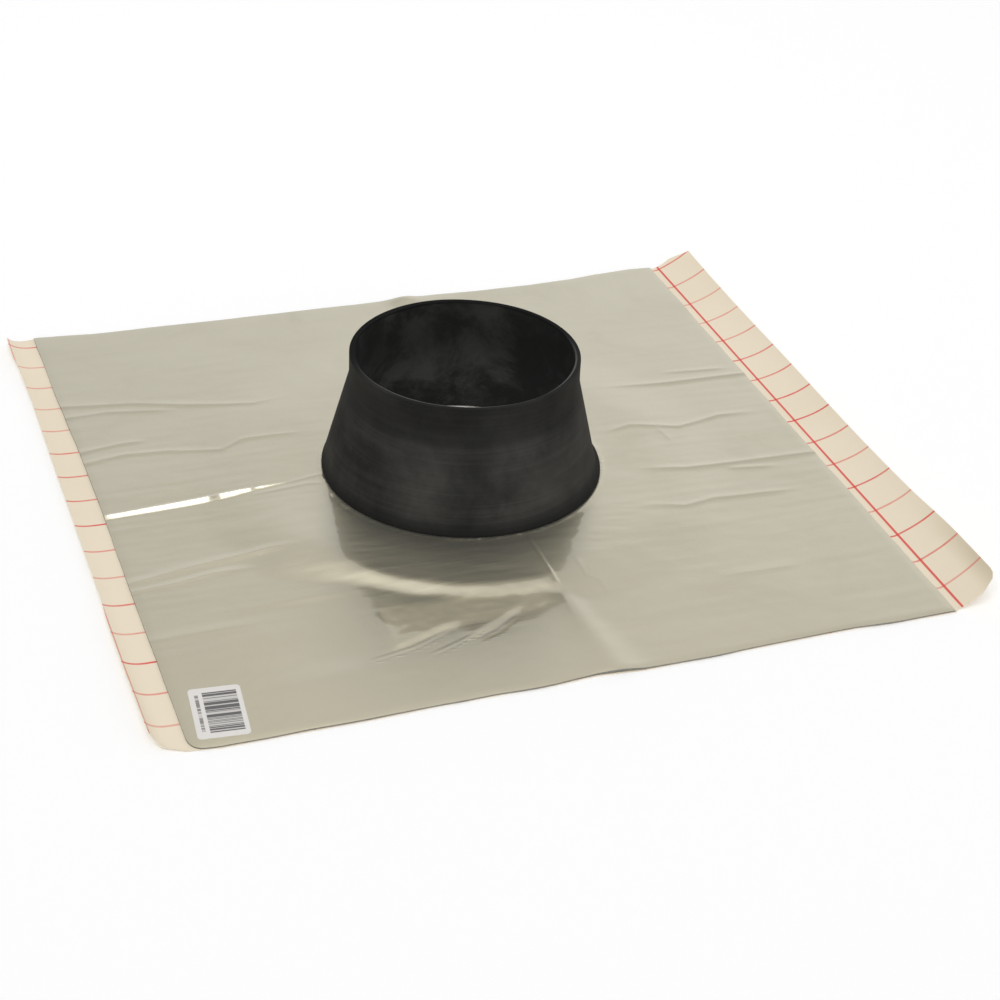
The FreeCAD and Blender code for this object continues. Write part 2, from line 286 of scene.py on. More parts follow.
def feed(tree, shader, colour, roughness):
    """Give a shader its varying colour and roughness."""
    tree.links.new(colour, shader.inputs["Base Color"])
    tree.links.new(roughness, shader.inputs["Roughness"])


def new_group(name, inputs, output):
    """An empty node group with named inputs and one named output."""
    group = bpy.data.node_groups.new(name, "ShaderNodeTree")
    for label, kind, value in inputs:
        socket = group.interface.new_socket(label, in_out="INPUT", socket_type=kind)
        if value is not None:
            socket.default_value = value
    group.interface.new_socket(output, in_out="OUTPUT", socket_type="NodeSocketFloat")
    source = group.nodes.new("NodeGroupInput")
    target = group.nodes.new("NodeGroupOutput")
    return group, source, target


def use_group(tree, group, values):
    """Place a node group and give its one output."""
    return add_node(tree, "ShaderNodeGroup", values, node_tree=group).outputs[0]


def make_smudges():
    """Cloudy marks of dust and handling, as a mask."""
    group, source, target = new_group("dust_smudges", [
        ("Vector", "NodeSocketVector", None),
        ("Scale", "NodeSocketFloat", 20.0),
        ("Cover", "NodeSocketFloat", 0.5),
        ("Softness", "NodeSocketFloat", 0.2),
        ("Swirl", "NodeSocketFloat", 0.7),
    ], "Mask")
    cloud = add_node(group, "ShaderNodeTexNoise", {
        "Vector": source.outputs["Vector"], "Scale": source.outputs["Scale"],
        "Detail": 5.0, "Roughness": 0.62, "Distortion": source.outputs["Swirl"],
    })
    top = calculate(group, "ADD", source.outputs["Cover"], source.outputs["Softness"])
    mask = spread(group, cloud.outputs["Fac"], source.outputs["Cover"], top)
    group.links.new(mask, target.inputs["Mask"])
    return group


def make_streaks():
    """Long marks that run one way, from noise that is stretched by its stretch input, as a value."""
    group, source, target = new_group("drawn_streaks", [
        ("Vector", "NodeSocketVector", None),
        ("Stretch", "NodeSocketVector", (1.0, 1.0, 1.0)),
        ("Wander", "NodeSocketFloat", 0.3),
    ], "Value")
    drawn = add_node(group, "ShaderNodeVectorMath", {
        0: source.outputs["Vector"], 1: source.outputs["Stretch"],
    }, operation="MULTIPLY")
    streak = add_node(group, "ShaderNodeTexNoise", {
        "Vector": drawn.outputs["Vector"], "Scale": 1.0, "Detail": 4.0, "Roughness": 0.55,
        "Distortion": source.outputs["Wander"],
    })
    group.links.new(streak.outputs["Fac"], target.inputs["Value"])
    return group


def make_grain():
    """Fine even grain, as a height."""
    group, source, target = new_group("fine_grain", [
        ("Vector", "NodeSocketVector", None),
        ("Scale", "NodeSocketFloat", 900.0),
    ], "Height")
    speck = add_node(group, "ShaderNodeTexNoise", {
        "Vector": source.outputs["Vector"], "Scale": source.outputs["Scale"],
        "Detail": 3.0, "Roughness": 0.6,
    })
    group.links.new(speck.outputs["Fac"], target.inputs["Height"])
    return group


smudges = make_smudges()
streaks = make_streaks()
grain = make_grain()


def raise_bump(tree, shader, height, strength, depth):
    """Give a shader's surface fine relief from a height; depth is in millimetres."""
    bump = add_node(tree, "ShaderNodeBump", {"Height": height, "Strength": strength, "Distance": depth * MM})
    tree.links.new(bump.outputs["Normal"], shader.inputs["Normal"])


# Materials

def make_rubber():
    """Matt black moulded rubber with dusty smudges and faint bands round it, painted shade at its foot and a
    painted highlight on the rim's inner edge.
    """
    material, tree, shader = new_material("moulded_rubber", Specular_IOR_Level=0.08)
    place = place_on(tree)
    axes = add_node(tree, "ShaderNodeSeparateXYZ", {0: place}).outputs
    height = axes["Z"]
    level = add_node(tree, "ShaderNodeCombineXYZ", {"X": axes["X"], "Y": axes["Y"]}).outputs["Vector"]
    radius = add_node(tree, "ShaderNodeVectorMath", {0: level}, operation="LENGTH").outputs["Value"]
    clouds = use_group(tree, smudges, {
        "Vector": place, "Scale": 15.0, "Cover": 0.30, "Softness": 0.45, "Swirl": 0.2})
    scuffs = use_group(tree, smudges, {
        "Vector": place, "Scale": 48.0, "Cover": 0.45, "Softness": 0.40, "Swirl": 0.3})
    blots = use_group(tree, smudges, {
        "Vector": place, "Scale": 26.0, "Cover": 0.45, "Softness": 0.22, "Swirl": 0.4})
    bands = use_group(tree, streaks, {"Vector": place, "Stretch": (7.0, 7.0, 330.0), "Wander": 0.4})

    # Dust lies on the middle of the skirt and less on the neck, with a dark ring under the neck; it thins
    # towards the foot, which paints shade there where the collar meets the foil
    cloud_share = 0.75
    scuff_share = 0.6
    thin_scuffs = times(tree, scuffs, scuff_share)
    above_foot_shade = spread(tree, height, (RAISED_TOP + 1) * MM, (LIP_TOP + 5) * MM, 0.15, 1.0)
    below_neck = spread(tree, height, (NECK_FOOT - 14) * MM, (NECK_FOOT - 2) * MM, 1.0, 0.42)
    outside = calculate(tree, "MAXIMUM", times(tree, clouds, cloud_share), thin_scuffs)
    outside = plus(tree, outside, spread(tree, bands, 0.42, 0.7, 0.12, 0.27))
    outside = times(tree, outside, above_foot_shade, below_neck)

    # Inside it lies in blots, most of them low down
    least_inside = 0.11
    low_inside = spread(tree, height, 18 * MM, 52 * MM, 1.0, 0.45)
    inside = times(tree, calculate(tree, "MAXIMUM", blots, thin_scuffs), low_inside)
    inside = plus(tree, inside, least_inside)
    below = calculate(tree, "MAXIMUM", calculate(tree, "SUBTRACT", NECK_FOOT * MM, height), 0.0)
    wall_middle = plus(tree, NECK_MIDDLE * MM, times(tree, below, WALL_SPREAD))
    is_outside = calculate(tree, "GREATER_THAN", radius, wall_middle)
    dusty = add_node(tree, "ShaderNodeMix", {0: is_outside, 2: inside, 3: outside}).outputs[0]
    black = (0.0085, 0.0084, 0.0081, 1.0)
    dust = (0.0600, 0.0590, 0.0555, 1.0)
    # The pale colour is a painted highlight on the rim's inner edge at the front
    highlight_and_ink_wear = (0.1500, 0.1480, 0.1400, 1.0)
    coloured = mix_colours(tree, dusty, black, dust)

    # The rim lies in its own shade at the back
    on_rim = spread(tree, height, (RIM_TOP - 1.2) * MM, (RIM_TOP - 0.3) * MM)
    at_back = spread(tree, axes["Y"], -30 * MM, 20 * MM, 0.0, 0.8)
    shade = (0.0025, 0.0025, 0.0025, 1.0)
    coloured = mix_colours(tree, times(tree, on_rim, at_back), coloured, shade)

    # The rim's inner edge is painted pale at the front, as a painted highlight
    highlight_radius = BORE + 0.35
    from_edge = distance(tree, radius, highlight_radius * MM)
    edge = spread(tree, from_edge, 0.3 * MM, 0.8 * MM, 0.65, 0.0)
    at_front = spread(tree, axes["Y"], -40 * MM, 10 * MM, 1.0, 0.0)
    coloured = mix_colours(tree, times(tree, on_rim, edge, at_front), coloured, highlight_and_ink_wear)
    feed(tree, shader, coloured, spread(tree, dusty, 0.0, 1.0, 0.66, 0.85))
    rough_share = 0.35
    rough = use_group(tree, grain, {"Vector": place, "Scale": 1100.0})
    relief = plus(tree, times(tree, rough, rough_share), bands)
    raise_bump(tree, shader, relief, strength=0.35, depth=0.4)
    return material


CREASE_MAP = "fine_creases"


def make_foil():
    """Rolled aluminium foil under clear film: a soft metal reflection with a sharper one over it, and
    painted shade just in front of each fine crease.
    """
    material, tree, shader = new_material(
        "butyl_foil", Metallic=1.0, Coat_Weight=1.0, Coat_Roughness=0.08, Coat_IOR=2.3,
        Sheen_Weight=0.25, Sheen_Roughness=0.5, Sheen_Tint=(0.80, 0.92, 1.0, 1.0))
    place = place_on(tree)
    rolled = use_group(tree, streaks, {"Vector": place, "Stretch": (18.0, 700.0, 1.0), "Wander": 0.2})
    marks = use_group(tree, smudges, {"Vector": place, "Scale": 16.0, "Cover": 0.45, "Softness": 0.35})
    bright = (0.80, 0.730, 0.525, 1.0)
    dull = (0.735, 0.667, 0.472, 1.0)
    # A dark colour for the painted shade in front of the fine creases
    crease_shade_colour = (0.40, 0.36, 0.26, 1.0)
    creases = add_node(tree, "ShaderNodeAttribute", attribute_name=CREASE_MAP).outputs["Vector"]
    across, sharpness, crinkled = add_node(tree, "ShaderNodeSeparateXYZ", {0: creases}).outputs

    # Painted shade lies just in front of each fine crease
    crease_shade_at = -0.6
    crease_shade = spread(tree, distance(tree, across, crease_shade_at), 0.0, 1.0, 0.40, 0.0)
    foil_colour = mix_colours(tree, marks, bright, dull)
    foil_colour = mix_colours(tree, times(tree, crease_shade, sharpness), foil_colour, crease_shade_colour)
    marked_haze = 0.07
    crinkled_haze = 0.13
    haze = spread(tree, rolled, 0.2, 0.8, 0.33, 0.41)
    haze = plus(tree, haze, spread(tree, marks, 0.0, 1.0, 0.0, marked_haze))
    haze = plus(tree, haze, times(tree, crinkled, crinkled_haze))
    feed(tree, shader, foil_colour, haze)

    # The foil's grain is fainter than its fine creases
    rolled_share = 0.25
    grain_share = 0.25
    crinkle = use_group(tree, grain, {"Vector": place, "Scale": 140.0})
    relief = times(tree, plus(tree, crinkle, times(tree, rolled, rolled_share)), grain_share)
    line = spread(tree, calculate(tree, "ABSOLUTE", across), 0.0, 1.0, 1.0, 0.0)
    relief = plus(tree, relief, times(tree, line, sharpness))
    raise_bump(tree, shader, relief, strength=1.0, depth=0.25)
    return material


def make_butyl():
    """The cut edge of the black butyl under the foil."""
    material, tree, shader = new_material("butyl_edge", Specular_IOR_Level=0.4)
    place = place_on(tree)
    torn = use_group(tree, grain, {"Vector": place, "Scale": 500.0})
    black = (0.110, 0.107, 0.098, 1.0)
    grey = (0.300, 0.290, 0.260, 1.0)
    feed(tree, shader, mix_colours(tree, torn, black, grey), spread(tree, torn, 0.2, 0.8, 0.4, 0.7))
    raise_bump(tree, shader, torn, strength=0.4, depth=0.3)
    return material


PAPER_MAP = "flat_paper"
RULE_PITCH = 25.0
RULE_WIDTH = 1.35
RULE_WANDERS_FROM = 110.0


def paper_finish(tree, shader, place, print_colour):
    """The paper's own colour, fibres and slight silicone sheen, under what is printed on it."""
    fibres = use_group(tree, grain, {"Vector": place, "Scale": 420.0})
    tint = use_group(tree, smudges, {"Vector": place, "Scale": 9.0, "Cover": 0.4, "Softness": 0.4})
    fibre_share = 0.3
    tint_share = 0.6
    tone = plus(tree, times(tree, fibres, fibre_share), times(tree, tint, tint_share))
    pale = (0.872, 0.767, 0.602, 1.0)
    buff = (0.815, 0.705, 0.535, 1.0)
    paper = mix_colours(tree, tone, pale, buff)
    feed(tree, shader, print_colour(paper), spread(tree, fibres, 0.2, 0.8, 0.42, 0.55))
    raise_bump(tree, shader, fibres, strength=0.12, depth=0.2)


def ruled_line(tree, place, shift, width):
    """A mask that is 1 on ruled lines of a width, all in millimetres; shift moves a line to its place."""
    moved = calculate(tree, "SUBTRACT", place, shift)
    away = calculate(tree, "PINGPONG", moved, RULE_PITCH / 2)
    blur = 0.18
    return spread(tree, away, width / 2 - blur, width / 2 + blur, 1.0, 0.0)


def make_printed_paper(
        name, across_at, along_at, along_width, across_strength, along_strength, wander, tip):
    """Release paper ruled in red squares; across_at and along_at place one line each way.

    wander moves the line along the depth outwards at the back, and tip is how much painted shade darkens the
    paper at its front tip.
    """
    material, tree, shader = new_material(name, Specular_IOR_Level=0.45)
    flat = add_node(tree, "ShaderNodeUVMap", uv_map=PAPER_MAP).outputs["UV"]
    side, depth = flat_place(tree, flat)
    moved = plus(tree, side, spread(tree, depth, RULE_WANDERS_FROM, HALF_DEPTH, 0.0, wander))
    along = times(tree, ruled_line(tree, moved, along_at, along_width), along_strength)

    # Each line across took more or less ink, and the ink is worn in places
    steps = calculate(tree, "DIVIDE", calculate(tree, "SUBTRACT", depth, across_at), RULE_PITCH)
    inked = spread(tree, random_value(tree, calculate(tree, "ROUND", steps)), 0.0, 1.0, 0.60, 1.0)
    highlight_and_ink_wear = use_group(tree, smudges, {"Vector": flat, "Scale": 60.0, "Cover": 0.3, "Softness": 0.45})
    faint = spread(tree, highlight_and_ink_wear, 0.0, 1.0, 0.80, 1.0)
    across = times(tree, ruled_line(tree, depth, across_at, RULE_WIDTH), inked, faint, across_strength)
    red = (0.74, 0.055, 0.042, 1.0)
    # A brownish colour painted as shade on the free edge's front tip, where the curl turns the paper away
    # from the light
    tip_shade_colour = (0.46, 0.38, 0.24, 1.0)
    outer = spread(tree, side, LINER_RIGHT_EDGE - 11.0, LINER_RIGHT_EDGE + 1.0, 0.0, tip)
    shaded = times(tree, outer, spread(tree, depth, -110.0, -185.0, 0.0, 1.0))

    def print_colour(paper):
        """The paper with painted shade at its tip and both sets of lines over it."""
        for mask, colour in ((shaded, tip_shade_colour), (across, red), (along, red)):
            paper = mix_colours(tree, mask, paper, colour)
        return paper

    paper_finish(tree, shader, flat, print_colour)
    return material


def make_plain_paper():
    """The liner's underside: the same paper with no print."""
    material, tree, shader = new_material("liner_underside", Specular_IOR_Level=0.35)
    flat = add_node(tree, "ShaderNodeUVMap", uv_map=PAPER_MAP).outputs["UV"]
    paper_finish(tree, shader, flat, lambda paper: paper)
    return material


LABEL_CENTRE = ((label_low.x + label_high.x) / 2, (label_low.y + label_high.y) / 2)
LABEL_WIDTH = 24.5
LABEL_LENGTH = 38.0
LABEL_CORNER = 2.2
LABEL_THICKNESS = 0.15
LABEL_TURN = math.radians(-5)


def make_label_paper():
    """White label paper with a block of plain bars and a strip of ticks that stand for nothing."""
    material, tree, shader = new_material("label_print", Specular_IOR_Level=0.4)
    place = place_on(tree)
    centre = (LABEL_CENTRE[0] * MM, LABEL_CENTRE[1] * MM, 0.0)
    laid = add_node(tree, "ShaderNodeMapping", {
        "Vector": place, "Location": centre, "Rotation": (0.0, 0.0, LABEL_TURN),
    }, vector_type="TEXTURE").outputs["Vector"]
    across, along = flat_place(tree, laid)
    from_middle = calculate(tree, "ABSOLUTE", along)

    def drawn(step):
        """A random value for each step along the label."""
        return random_value(tree, calculate(tree, "FLOOR", calculate(tree, "DIVIDE", along, step)))

    # A block of bars, with some grey between them
    bar_step = 0.42
    bar_above = 0.42
    bar_ink = 0.65
    between_ink = 0.22
    block_middle = 2.0
    half_block = 8.0
    half_run = 15.2
    blur = 0.15
    bars = calculate(tree, "GREATER_THAN", drawn(bar_step), bar_above)
    beside = distance(tree, across, block_middle)
    within = spread(tree, beside, half_block - blur, half_block + blur, 1.0, 0.0)
    within = times(tree, within, spread(tree, from_middle, half_run - blur, half_run + blur, 1.0, 0.0))
    block = times(tree, plus(tree, times(tree, bars, bar_ink), between_ink), within)

    # A strip of ticks beside it
    tick_step = 0.9
    tick_ink = 0.7
    strip_middle = -8.8
    ticks = spread(tree, drawn(tick_step), 0.2, 0.6, 0.3, 1.0)
    strip = times(tree, spread(tree, distance(tree, across, strip_middle), 0.7, 1.0, 1.0, 0.0), ticks)
    strip = times(tree, strip, spread(tree, from_middle, 13.6, 14.0, 1.0, 0.0), tick_ink)
    fibres = use_group(tree, grain, {"Vector": place, "Scale": 900.0})
    white = (0.800, 0.775, 0.745, 1.0)
    shade = (0.745, 0.720, 0.690, 1.0)
    black = (0.035, 0.034, 0.036, 1.0)
    paper = mix_colours(tree, fibres, white, shade)
    inked = mix_colours(tree, calculate(tree, "MAXIMUM", block, strip), paper, black)
    feed(tree, shader, inked, spread(tree, fibres, 0.2, 0.8, 0.4, 0.55))
    raise_bump(tree, shader, fibres, strength=0.1, depth=0.1)
    return material


# Camera

LENS = 80.38
AZIMUTH = math.radians(-20.946)
ELEVATION = math.radians(32.021)
ROLL = math.radians(2.943)
DISTANCE = 1190.7
LOOK_AT = Vector((8.53, -40.22, SHEET_TOP))


def make_camera():
    """The photograph's view of the part."""
    back = Vector((
        math.sin(AZIMUTH) * math.cos(ELEVATION),
        -math.cos(AZIMUTH) * math.cos(ELEVATION),
        math.sin(ELEVATION),
    ))
    level = Vector((math.cos(AZIMUTH), math.sin(AZIMUTH), 0.0))
    upright = back.cross(level)
    right = math.cos(ROLL) * level + math.sin(ROLL) * upright
    up = -math.sin(ROLL) * level + math.cos(ROLL) * upright
    clear_selection()
    bpy.ops.object.camera_add()
    camera = bpy.context.object
    camera.name = "photo_camera"
    camera.data.lens = LENS
    turn = Matrix((right, up, back)).transposed().to_4x4()
    camera.matrix_world = Matrix.Translation((LOOK_AT + back * DISTANCE) * MM) @ turn
    bpy.context.scene.camera = camera


# Collar

NECK_BLEND = 40.0
OUT_OF_ROUND = 0.7
RIM_WAVE = 0.45
RIM_CLOSENESS = 1.3
SKIRT_SHIFT = 1.0
LIP_INSET = 0.4
LIP_SHOWS_AT = math.radians(-15)
LIP_COVER_LEAST = 0.45
LIP_COVER_SPAN = (0.8, 0.25)
SPIN_STEPS = 216
ARC_STEP = math.radians(9)
LONGEST_RUN = 4.0


def rounded_outline(corners):
    """Points round a closed outline; each corner is its place and the radius that rounds it, or 0."""
    points = []
    for number, (place, radius) in enumerate(corners):
        here = Vector(place)
        if not radius:
            points.append(here)
            continue
        before = (Vector(corners[number - 1][0]) - here).normalized()
        after = (Vector(corners[(number + 1) % len(corners)][0]) - here).normalized()
        half = before.angle(after) / 2
        centre = here + (before + after).normalized() * (radius / math.sin(half))
        first = here + before * (radius / math.tan(half)) - centre
        last = here + after * (radius / math.tan(half)) - centre
        turn = first.angle_signed(last)
        steps = max(2, math.ceil(abs(turn) / ARC_STEP))
        start = math.atan2(first.y, first.x)
        for step in range(steps + 1):
            angle = start - turn * step / steps
            points.append(centre + Vector((math.cos(angle), math.sin(angle))) * radius)
    return points


def draw_and_spin(points):
    """Extrude one vertex from point to point round a closed outline, then spin it about Z."""
    clear_selection()
    bpy.ops.mesh.primitive_plane_add(size=MM)
    piece = bpy.context.object
    places = [Vector((point.x, 0.0, point.y)) * MM for point in points]
    edit(piece)
    bpy.ops.mesh.select_all(action="SELECT")
    bpy.ops.mesh.merge(type="CENTER")
    bpy.ops.transform.translate(value=places[0])
    for before, after in zip(places, places[1:] + places[:1]):
        bpy.ops.mesh.extrude_region_move(TRANSFORM_OT_translate={"value": after - before})
    bpy.ops.mesh.select_all(action="SELECT")
    bpy.ops.mesh.remove_doubles(threshold=SAME_PLACE * MM)
    bpy.ops.mesh.select_mode(type="EDGE")
    while pick_long_edges(piece):
        bpy.ops.mesh.subdivide(number_cuts=1)
    bpy.ops.mesh.select_mode(type="VERT")
    bpy.ops.mesh.select_all(action="SELECT")
    bpy.ops.mesh.spin(steps=SPIN_STEPS, angle=math.tau, center=(0, 0, 0), axis=(0, 0, 1))
    bpy.ops.mesh.select_all(action="SELECT")
    bpy.ops.mesh.remove_doubles(threshold=SAME_PLACE * MM)
    bpy.ops.mesh.normals_make_consistent(inside=False)
    close_edit()
    return piece


def pick_long_edges(piece):
    """Select the edges of the drawn outline that are longer than one run, and say if there are any."""
    bpy.ops.mesh.select_all(action="DESELECT")
    close_edit()
    found = False
    for edge in piece.data.edges:
        first, last = [piece.data.vertices[number].co for number in edge.vertices]
        edge.select = (first - last).length > LONGEST_RUN * MM
        found = found or edge.select
    bpy.ops.object.mode_set(mode="EDIT")
    return found


def move_out(points, angle, far):
    """Move rows of points straight away from the collar's axis."""
    points[:, 0] += numpy.cos(angle) * far
    points[:, 1] += numpy.sin(angle) * far


def make_collar(rubber):
    """Neck, skirt and foot lip in one moulding, with its flange under the sheet."""
    piece = draw_and_spin(rounded_outline([
        ((OPENING, LINER_TOP), 0.3),
        ((FLANGE, LINER_TOP), 0.3),
        ((FLANGE, FLANGE_TOP), 0.3),
        ((FOOT, FLANGE_TOP), 0),
        ((FOOT, RAISED_TOP), 0),
        ((LIP, RAISED_TOP), 0.5),
        ((LIP, LIP_EDGE_TOP), 1.2),
        ((FOOT, LIP_TOP), 5.0),
        ((NECK, NECK_FOOT), NECK_BLEND),
        ((NECK, RIM_TOP), 0.7),
        ((BORE, RIM_TOP), 0.7),
        ((BORE, NECK_FOOT), NECK_BLEND + WALL),
        ((OPENING, LIP_TOP), 5.0),
    ]))
    piece.name = "moulded_collar"
    points = read_points(piece)
    angle = numpy.arctan2(points[:, 1], points[:, 0])
    free = smooth_step(LIP_TOP, RIM_TOP, points[:, 2])
    move_out(points, angle, OUT_OF_ROUND * noise_round(angle, RIM_CLOSENESS, 3.1) * free)
    points[:, 2] += RIM_WAVE * noise_round(angle, RIM_CLOSENESS, 8.4) * free

    # The skirt sits a little to the left on its foot, and it runs on over the foot lip except at the right
    height = points[:, 2]
    below_neck = numpy.clip(NECK_FOOT - height, 0, None)
    above_lip = smooth_step(LIP_EDGE_TOP, LIP_TOP, height)
    points[:, 0] -= SKIRT_SHIFT * below_neck / (NECK_FOOT - LIP_TOP) * above_lip
    radius = numpy.hypot(points[:, 0], points[:, 1])
    is_outside = radius > NECK_MIDDLE + WALL_SPREAD * below_neck
    straight = NECK + (LIP - LIP_INSET - NECK) * below_neck / (NECK_FOOT - LIP_EDGE_TOP)
    runs_on = numpy.clip(straight - radius, 0, None) * is_outside * (height > LIP_EDGE_TOP - NEAR)
    covered = smooth_step(*LIP_COVER_SPAN, numpy.cos(angle - LIP_SHOWS_AT))
    move_out(points, angle, runs_on * (LIP_COVER_LEAST + (1 - LIP_COVER_LEAST) * covered))
    write_points(piece, points)
    piece.data.materials.append(rubber)
    settle(piece, "rubber_collar", smooth_angle=35)


# Foil sheet

# Soft wrinkles in the foil: width, height, sharpness of the fine crease along it and of the painted shade in
# front of it, and the line each follows
WRINKLES = {
    "left_back": (2.4, 0.30, 0.35, [(-197, 118), (-157, 112), (-133, 104), (-93, 94), (-66, 97)]),
    "left_back_branch": (2.0, 0.22, 0.30, [(-197, 105), (-174, 106), (-152, 102), (-132, 98)]),
    "left_middle": (2.2, 0.28, 0.35, [(-197, 66), (-173, 70), (-156, 70)]),
    "left_middle_branch": (2.0, 0.28, 0.40, [
        (-197, 54), (-173, 58), (-150, 56), (-122, 49), (-109, 56), (-61, 54)]),
    "left_fold_tail": (1.6, 0.14, 0.40, [(-98, 4), (-70, 10)]),
    "left_fold_front": (1.6, 0.12, 0.30, [(-121, -3), (-86, 1), (-72, -2)]),
    "left_front": (3.0, 0.34, 0.35, [(-197, -66), (-169, -60), (-145, -56), (-121, -54), (-100, -57)]),
    "left_front_branch": (2.4, 0.26, 0.35, [(-197, -73), (-172, -71), (-153, -67), (-129, -67)]),
    "left_corner": (3.4, 0.18, 0.20, [(-196, -116), (-170, -115), (-141, -114)]),
    "right_back": (2.6, 0.40, 0.45, [(102, 59), (149, 56), (197, 55)]),
    "right_back_branch": (2.2, 0.26, 0.35, [(143, 68), (192, 63)]),
    "right_middle": (2.2, 0.38, 0.40, [(82, 8), (105, 14), (132, 6), (159, 13), (188, 12)]),
    "right_middle_branch": (1.8, 0.16, 0.20, [(119, 9), (122, -10)]),
    "right_front": (2.6, 0.40, 0.45, [(84, -30), (118, -37), (143, -37), (196, -39)]),
    "right_front_branch": (2.0, 0.24, 0.30, [(138, -42), (170, -47)]),
    "right_last": (2.2, 0.32, 0.35, [(76, -66), (102, -73), (121, -69), (174, -72)]),
    "right_corner": (3.0, 0.12, 0.15, [(88, -139), (142, -140)]),
    "front_long": (1.7, -0.10, 0.60, [(-106, -161), (-76, -155), (-52, -145)]),
    "front_short": (1.7, -0.10, 0.60, [(-72, -164), (-42, -152)]),
    "front_bent": (1.8, -0.10, 0.50, [(-50, -160), (-32, -153), (-14, -140)]),
    "raised": (1.4, 0.04, 0.10, [(10, -74), (10, -117), (9, -128), (8, -165)]),
    "raised_side": (1.6, 0.04, 0.10, [(27, -98), (27, -121), (32, -126), (33, -146)]),
}
WRINKLE_FADE = 0.3
AT_SHEET_EDGE = 3
FINE_HALF_WIDTH = 2.0
FINE_REACH = 4.0
FINE_FADE_START = 2.4

# The soft slope off the raised round starts inside the flange's own slope and ends outside it. In front,
# between two ranges of bearing in degrees, both ends shift and make it short and steep.
STEEP_RIGHT = (-74, -90)
STEEP_LEFT = (-152, -128)
SOFT_TOP = 14.0
SOFT_FOOT = 24.0
STEEP_TOP_SHIFT = 9.0
STEEP_FOOT_SHIFT = 23.5
DISH_BEARING = -149
DISH_SPREAD = 17
DISH_START = LIP + 2
DISH_PITCH = 0.034

# The fold across the left half
FOLD_OUTER = -HALF_WIDTH
FOLD_INNER = -SLOPE_START + 30.0
FOLD_OUTER_Y = -1.5
FOLD_INNER_Y = 5.0
FOLD_OUTER_RUN = 3.2
FOLD_MIDDLE_RUN = 4.0
FOLD_WIDENS = 45
FOLD_TAPER = (FOLD_INNER + 4, FOLD_INNER - 44)
FOLD_SIDE = (FOLD_INNER + 12, FOLD_INNER - 6)
FOLD_BACK_SHARE = 0.65
FOLD_PITCH = 0.325
FOLD_PINCHES = (-137.0, -114.0)
PINCH_DEPTH = 0.6
PINCH_WIDTH = 1.2

# The crinkled patch in front of the collar: where each of its edges fades in
PATCH_EDGE_X = -83.0
PATCH_LEFT = (PATCH_EDGE_X - 1, PATCH_EDGE_X + 1)
PATCH_RIGHT = (8, -6)
PATCH_FRONT = (-142, -138)
PATCH_SLANT = 0.1
PATCH_BACK = (-116, -124)

# The dip to the left of the patch, with its end in runs
DIP_DEPTH = 0.5
DIP_RUN = 25
DIP_END = (3.4, 1.0)
DIP_BACK = (-98, -108)
DIP_FRONT = (-168, -150)

# Low ledges behind the front folds: both ends of the line, height, drop behind it and the drop's run
LEDGES = [
    ((PATCH_EDGE_X, -155), (-48, -144), 0.55, 0.2, 26),
    ((-48, -158.5), (-14, -140), 0.35, 0.0, 14),
]
LEDGE_RISE = 5.0
LEDGE_TAIL = 20
LEDGE_START = (-5, 4)
LEDGE_END = (6, -8)

BACK_KINK_X = 29.0
BACK_KINK_HEIGHT = 1.8
BACK_KINK_WIDTH = 9
BACK_KINK_RUN = 16

# The crease over the liner's split
CREASE_X = LINER_SPLIT
CREASE_DRIFT = 3.5
CREASE_HEIGHT = 1.0
CREASE_INNER_HEIGHT = 0.35
CREASE_INNER_WIDTH = 4.0
CREASE_WIDENS = 7.0
CREASE_LINE_HEIGHT = 0.26
CREASE_LINE_WIDTH = 0.9

# How much flatter the foil is under the label, beside the fold and where it mirrors the front
LABEL_CALM = 0.15
LABEL_CALM_END = (22, 45)
FOLD_CALM = 0.9
FOLD_CALM_REACH = 7
FRONT_CALM = 0.4

PUCKER_HEIGHT = 0.10
PUCKER_CLOSENESS = 9
PUCKER_REACH = 16
BEAD_HEIGHT = 0.26
BEAD_WIDTH = 0.6
BEAD_CLOSENESS = 14
BEAD_RAGGED = 0.9


def beside_line(x, y, line):
    """How far each place lies beside a line of points, and how a wrinkle along it fades at its ends.

    The distance has its side as the sign, and an end on the sheet's own edge doesn't fade.
    """
    lengths = [math.dist(first, last) for first, last in zip(line, line[1:])]
    total = sum(lengths)
    beside = numpy.full(x.shape, numpy.inf)
    along = numpy.zeros(x.shape)
    done = 0.0
    for (first, last), length in zip(zip(line, line[1:]), lengths):
        run_x = (last[0] - first[0]) / length
        run_y = (last[1] - first[1]) / length
        reach = numpy.clip((x - first[0]) * run_x + (y - first[1]) * run_y, 0, length)
        off_x = x - first[0] - reach * run_x
        off_y = y - first[1] - reach * run_y
        away = numpy.hypot(off_x, off_y)
        side = numpy.where(run_x * off_y > run_y * off_x, 1, -1)
        nearer = away < abs(beside)
        beside = numpy.where(nearer, away * side, beside)
        along = numpy.where(nearer, (done + reach) / total, along)
        done += length
    fade = 1.0
    for end, share in ((line[0], along), (line[-1], 1 - along)):
        if abs(abs(end[0]) - HALF_WIDTH) > AT_SHEET_EDGE:
            fade = fade * smooth_step(0, WRINKLE_FADE, share)
    return beside, fade


def crinkled_patch(x, y):
    """1 on the crinkled patch of foil in front of the raised round, 0 elsewhere."""
    across = smooth_step(*PATCH_LEFT, x) * smooth_step(*PATCH_RIGHT, x)
    return across * smooth_step(*PATCH_FRONT, y - PATCH_SLANT * x) * smooth_step(*PATCH_BACK, y)


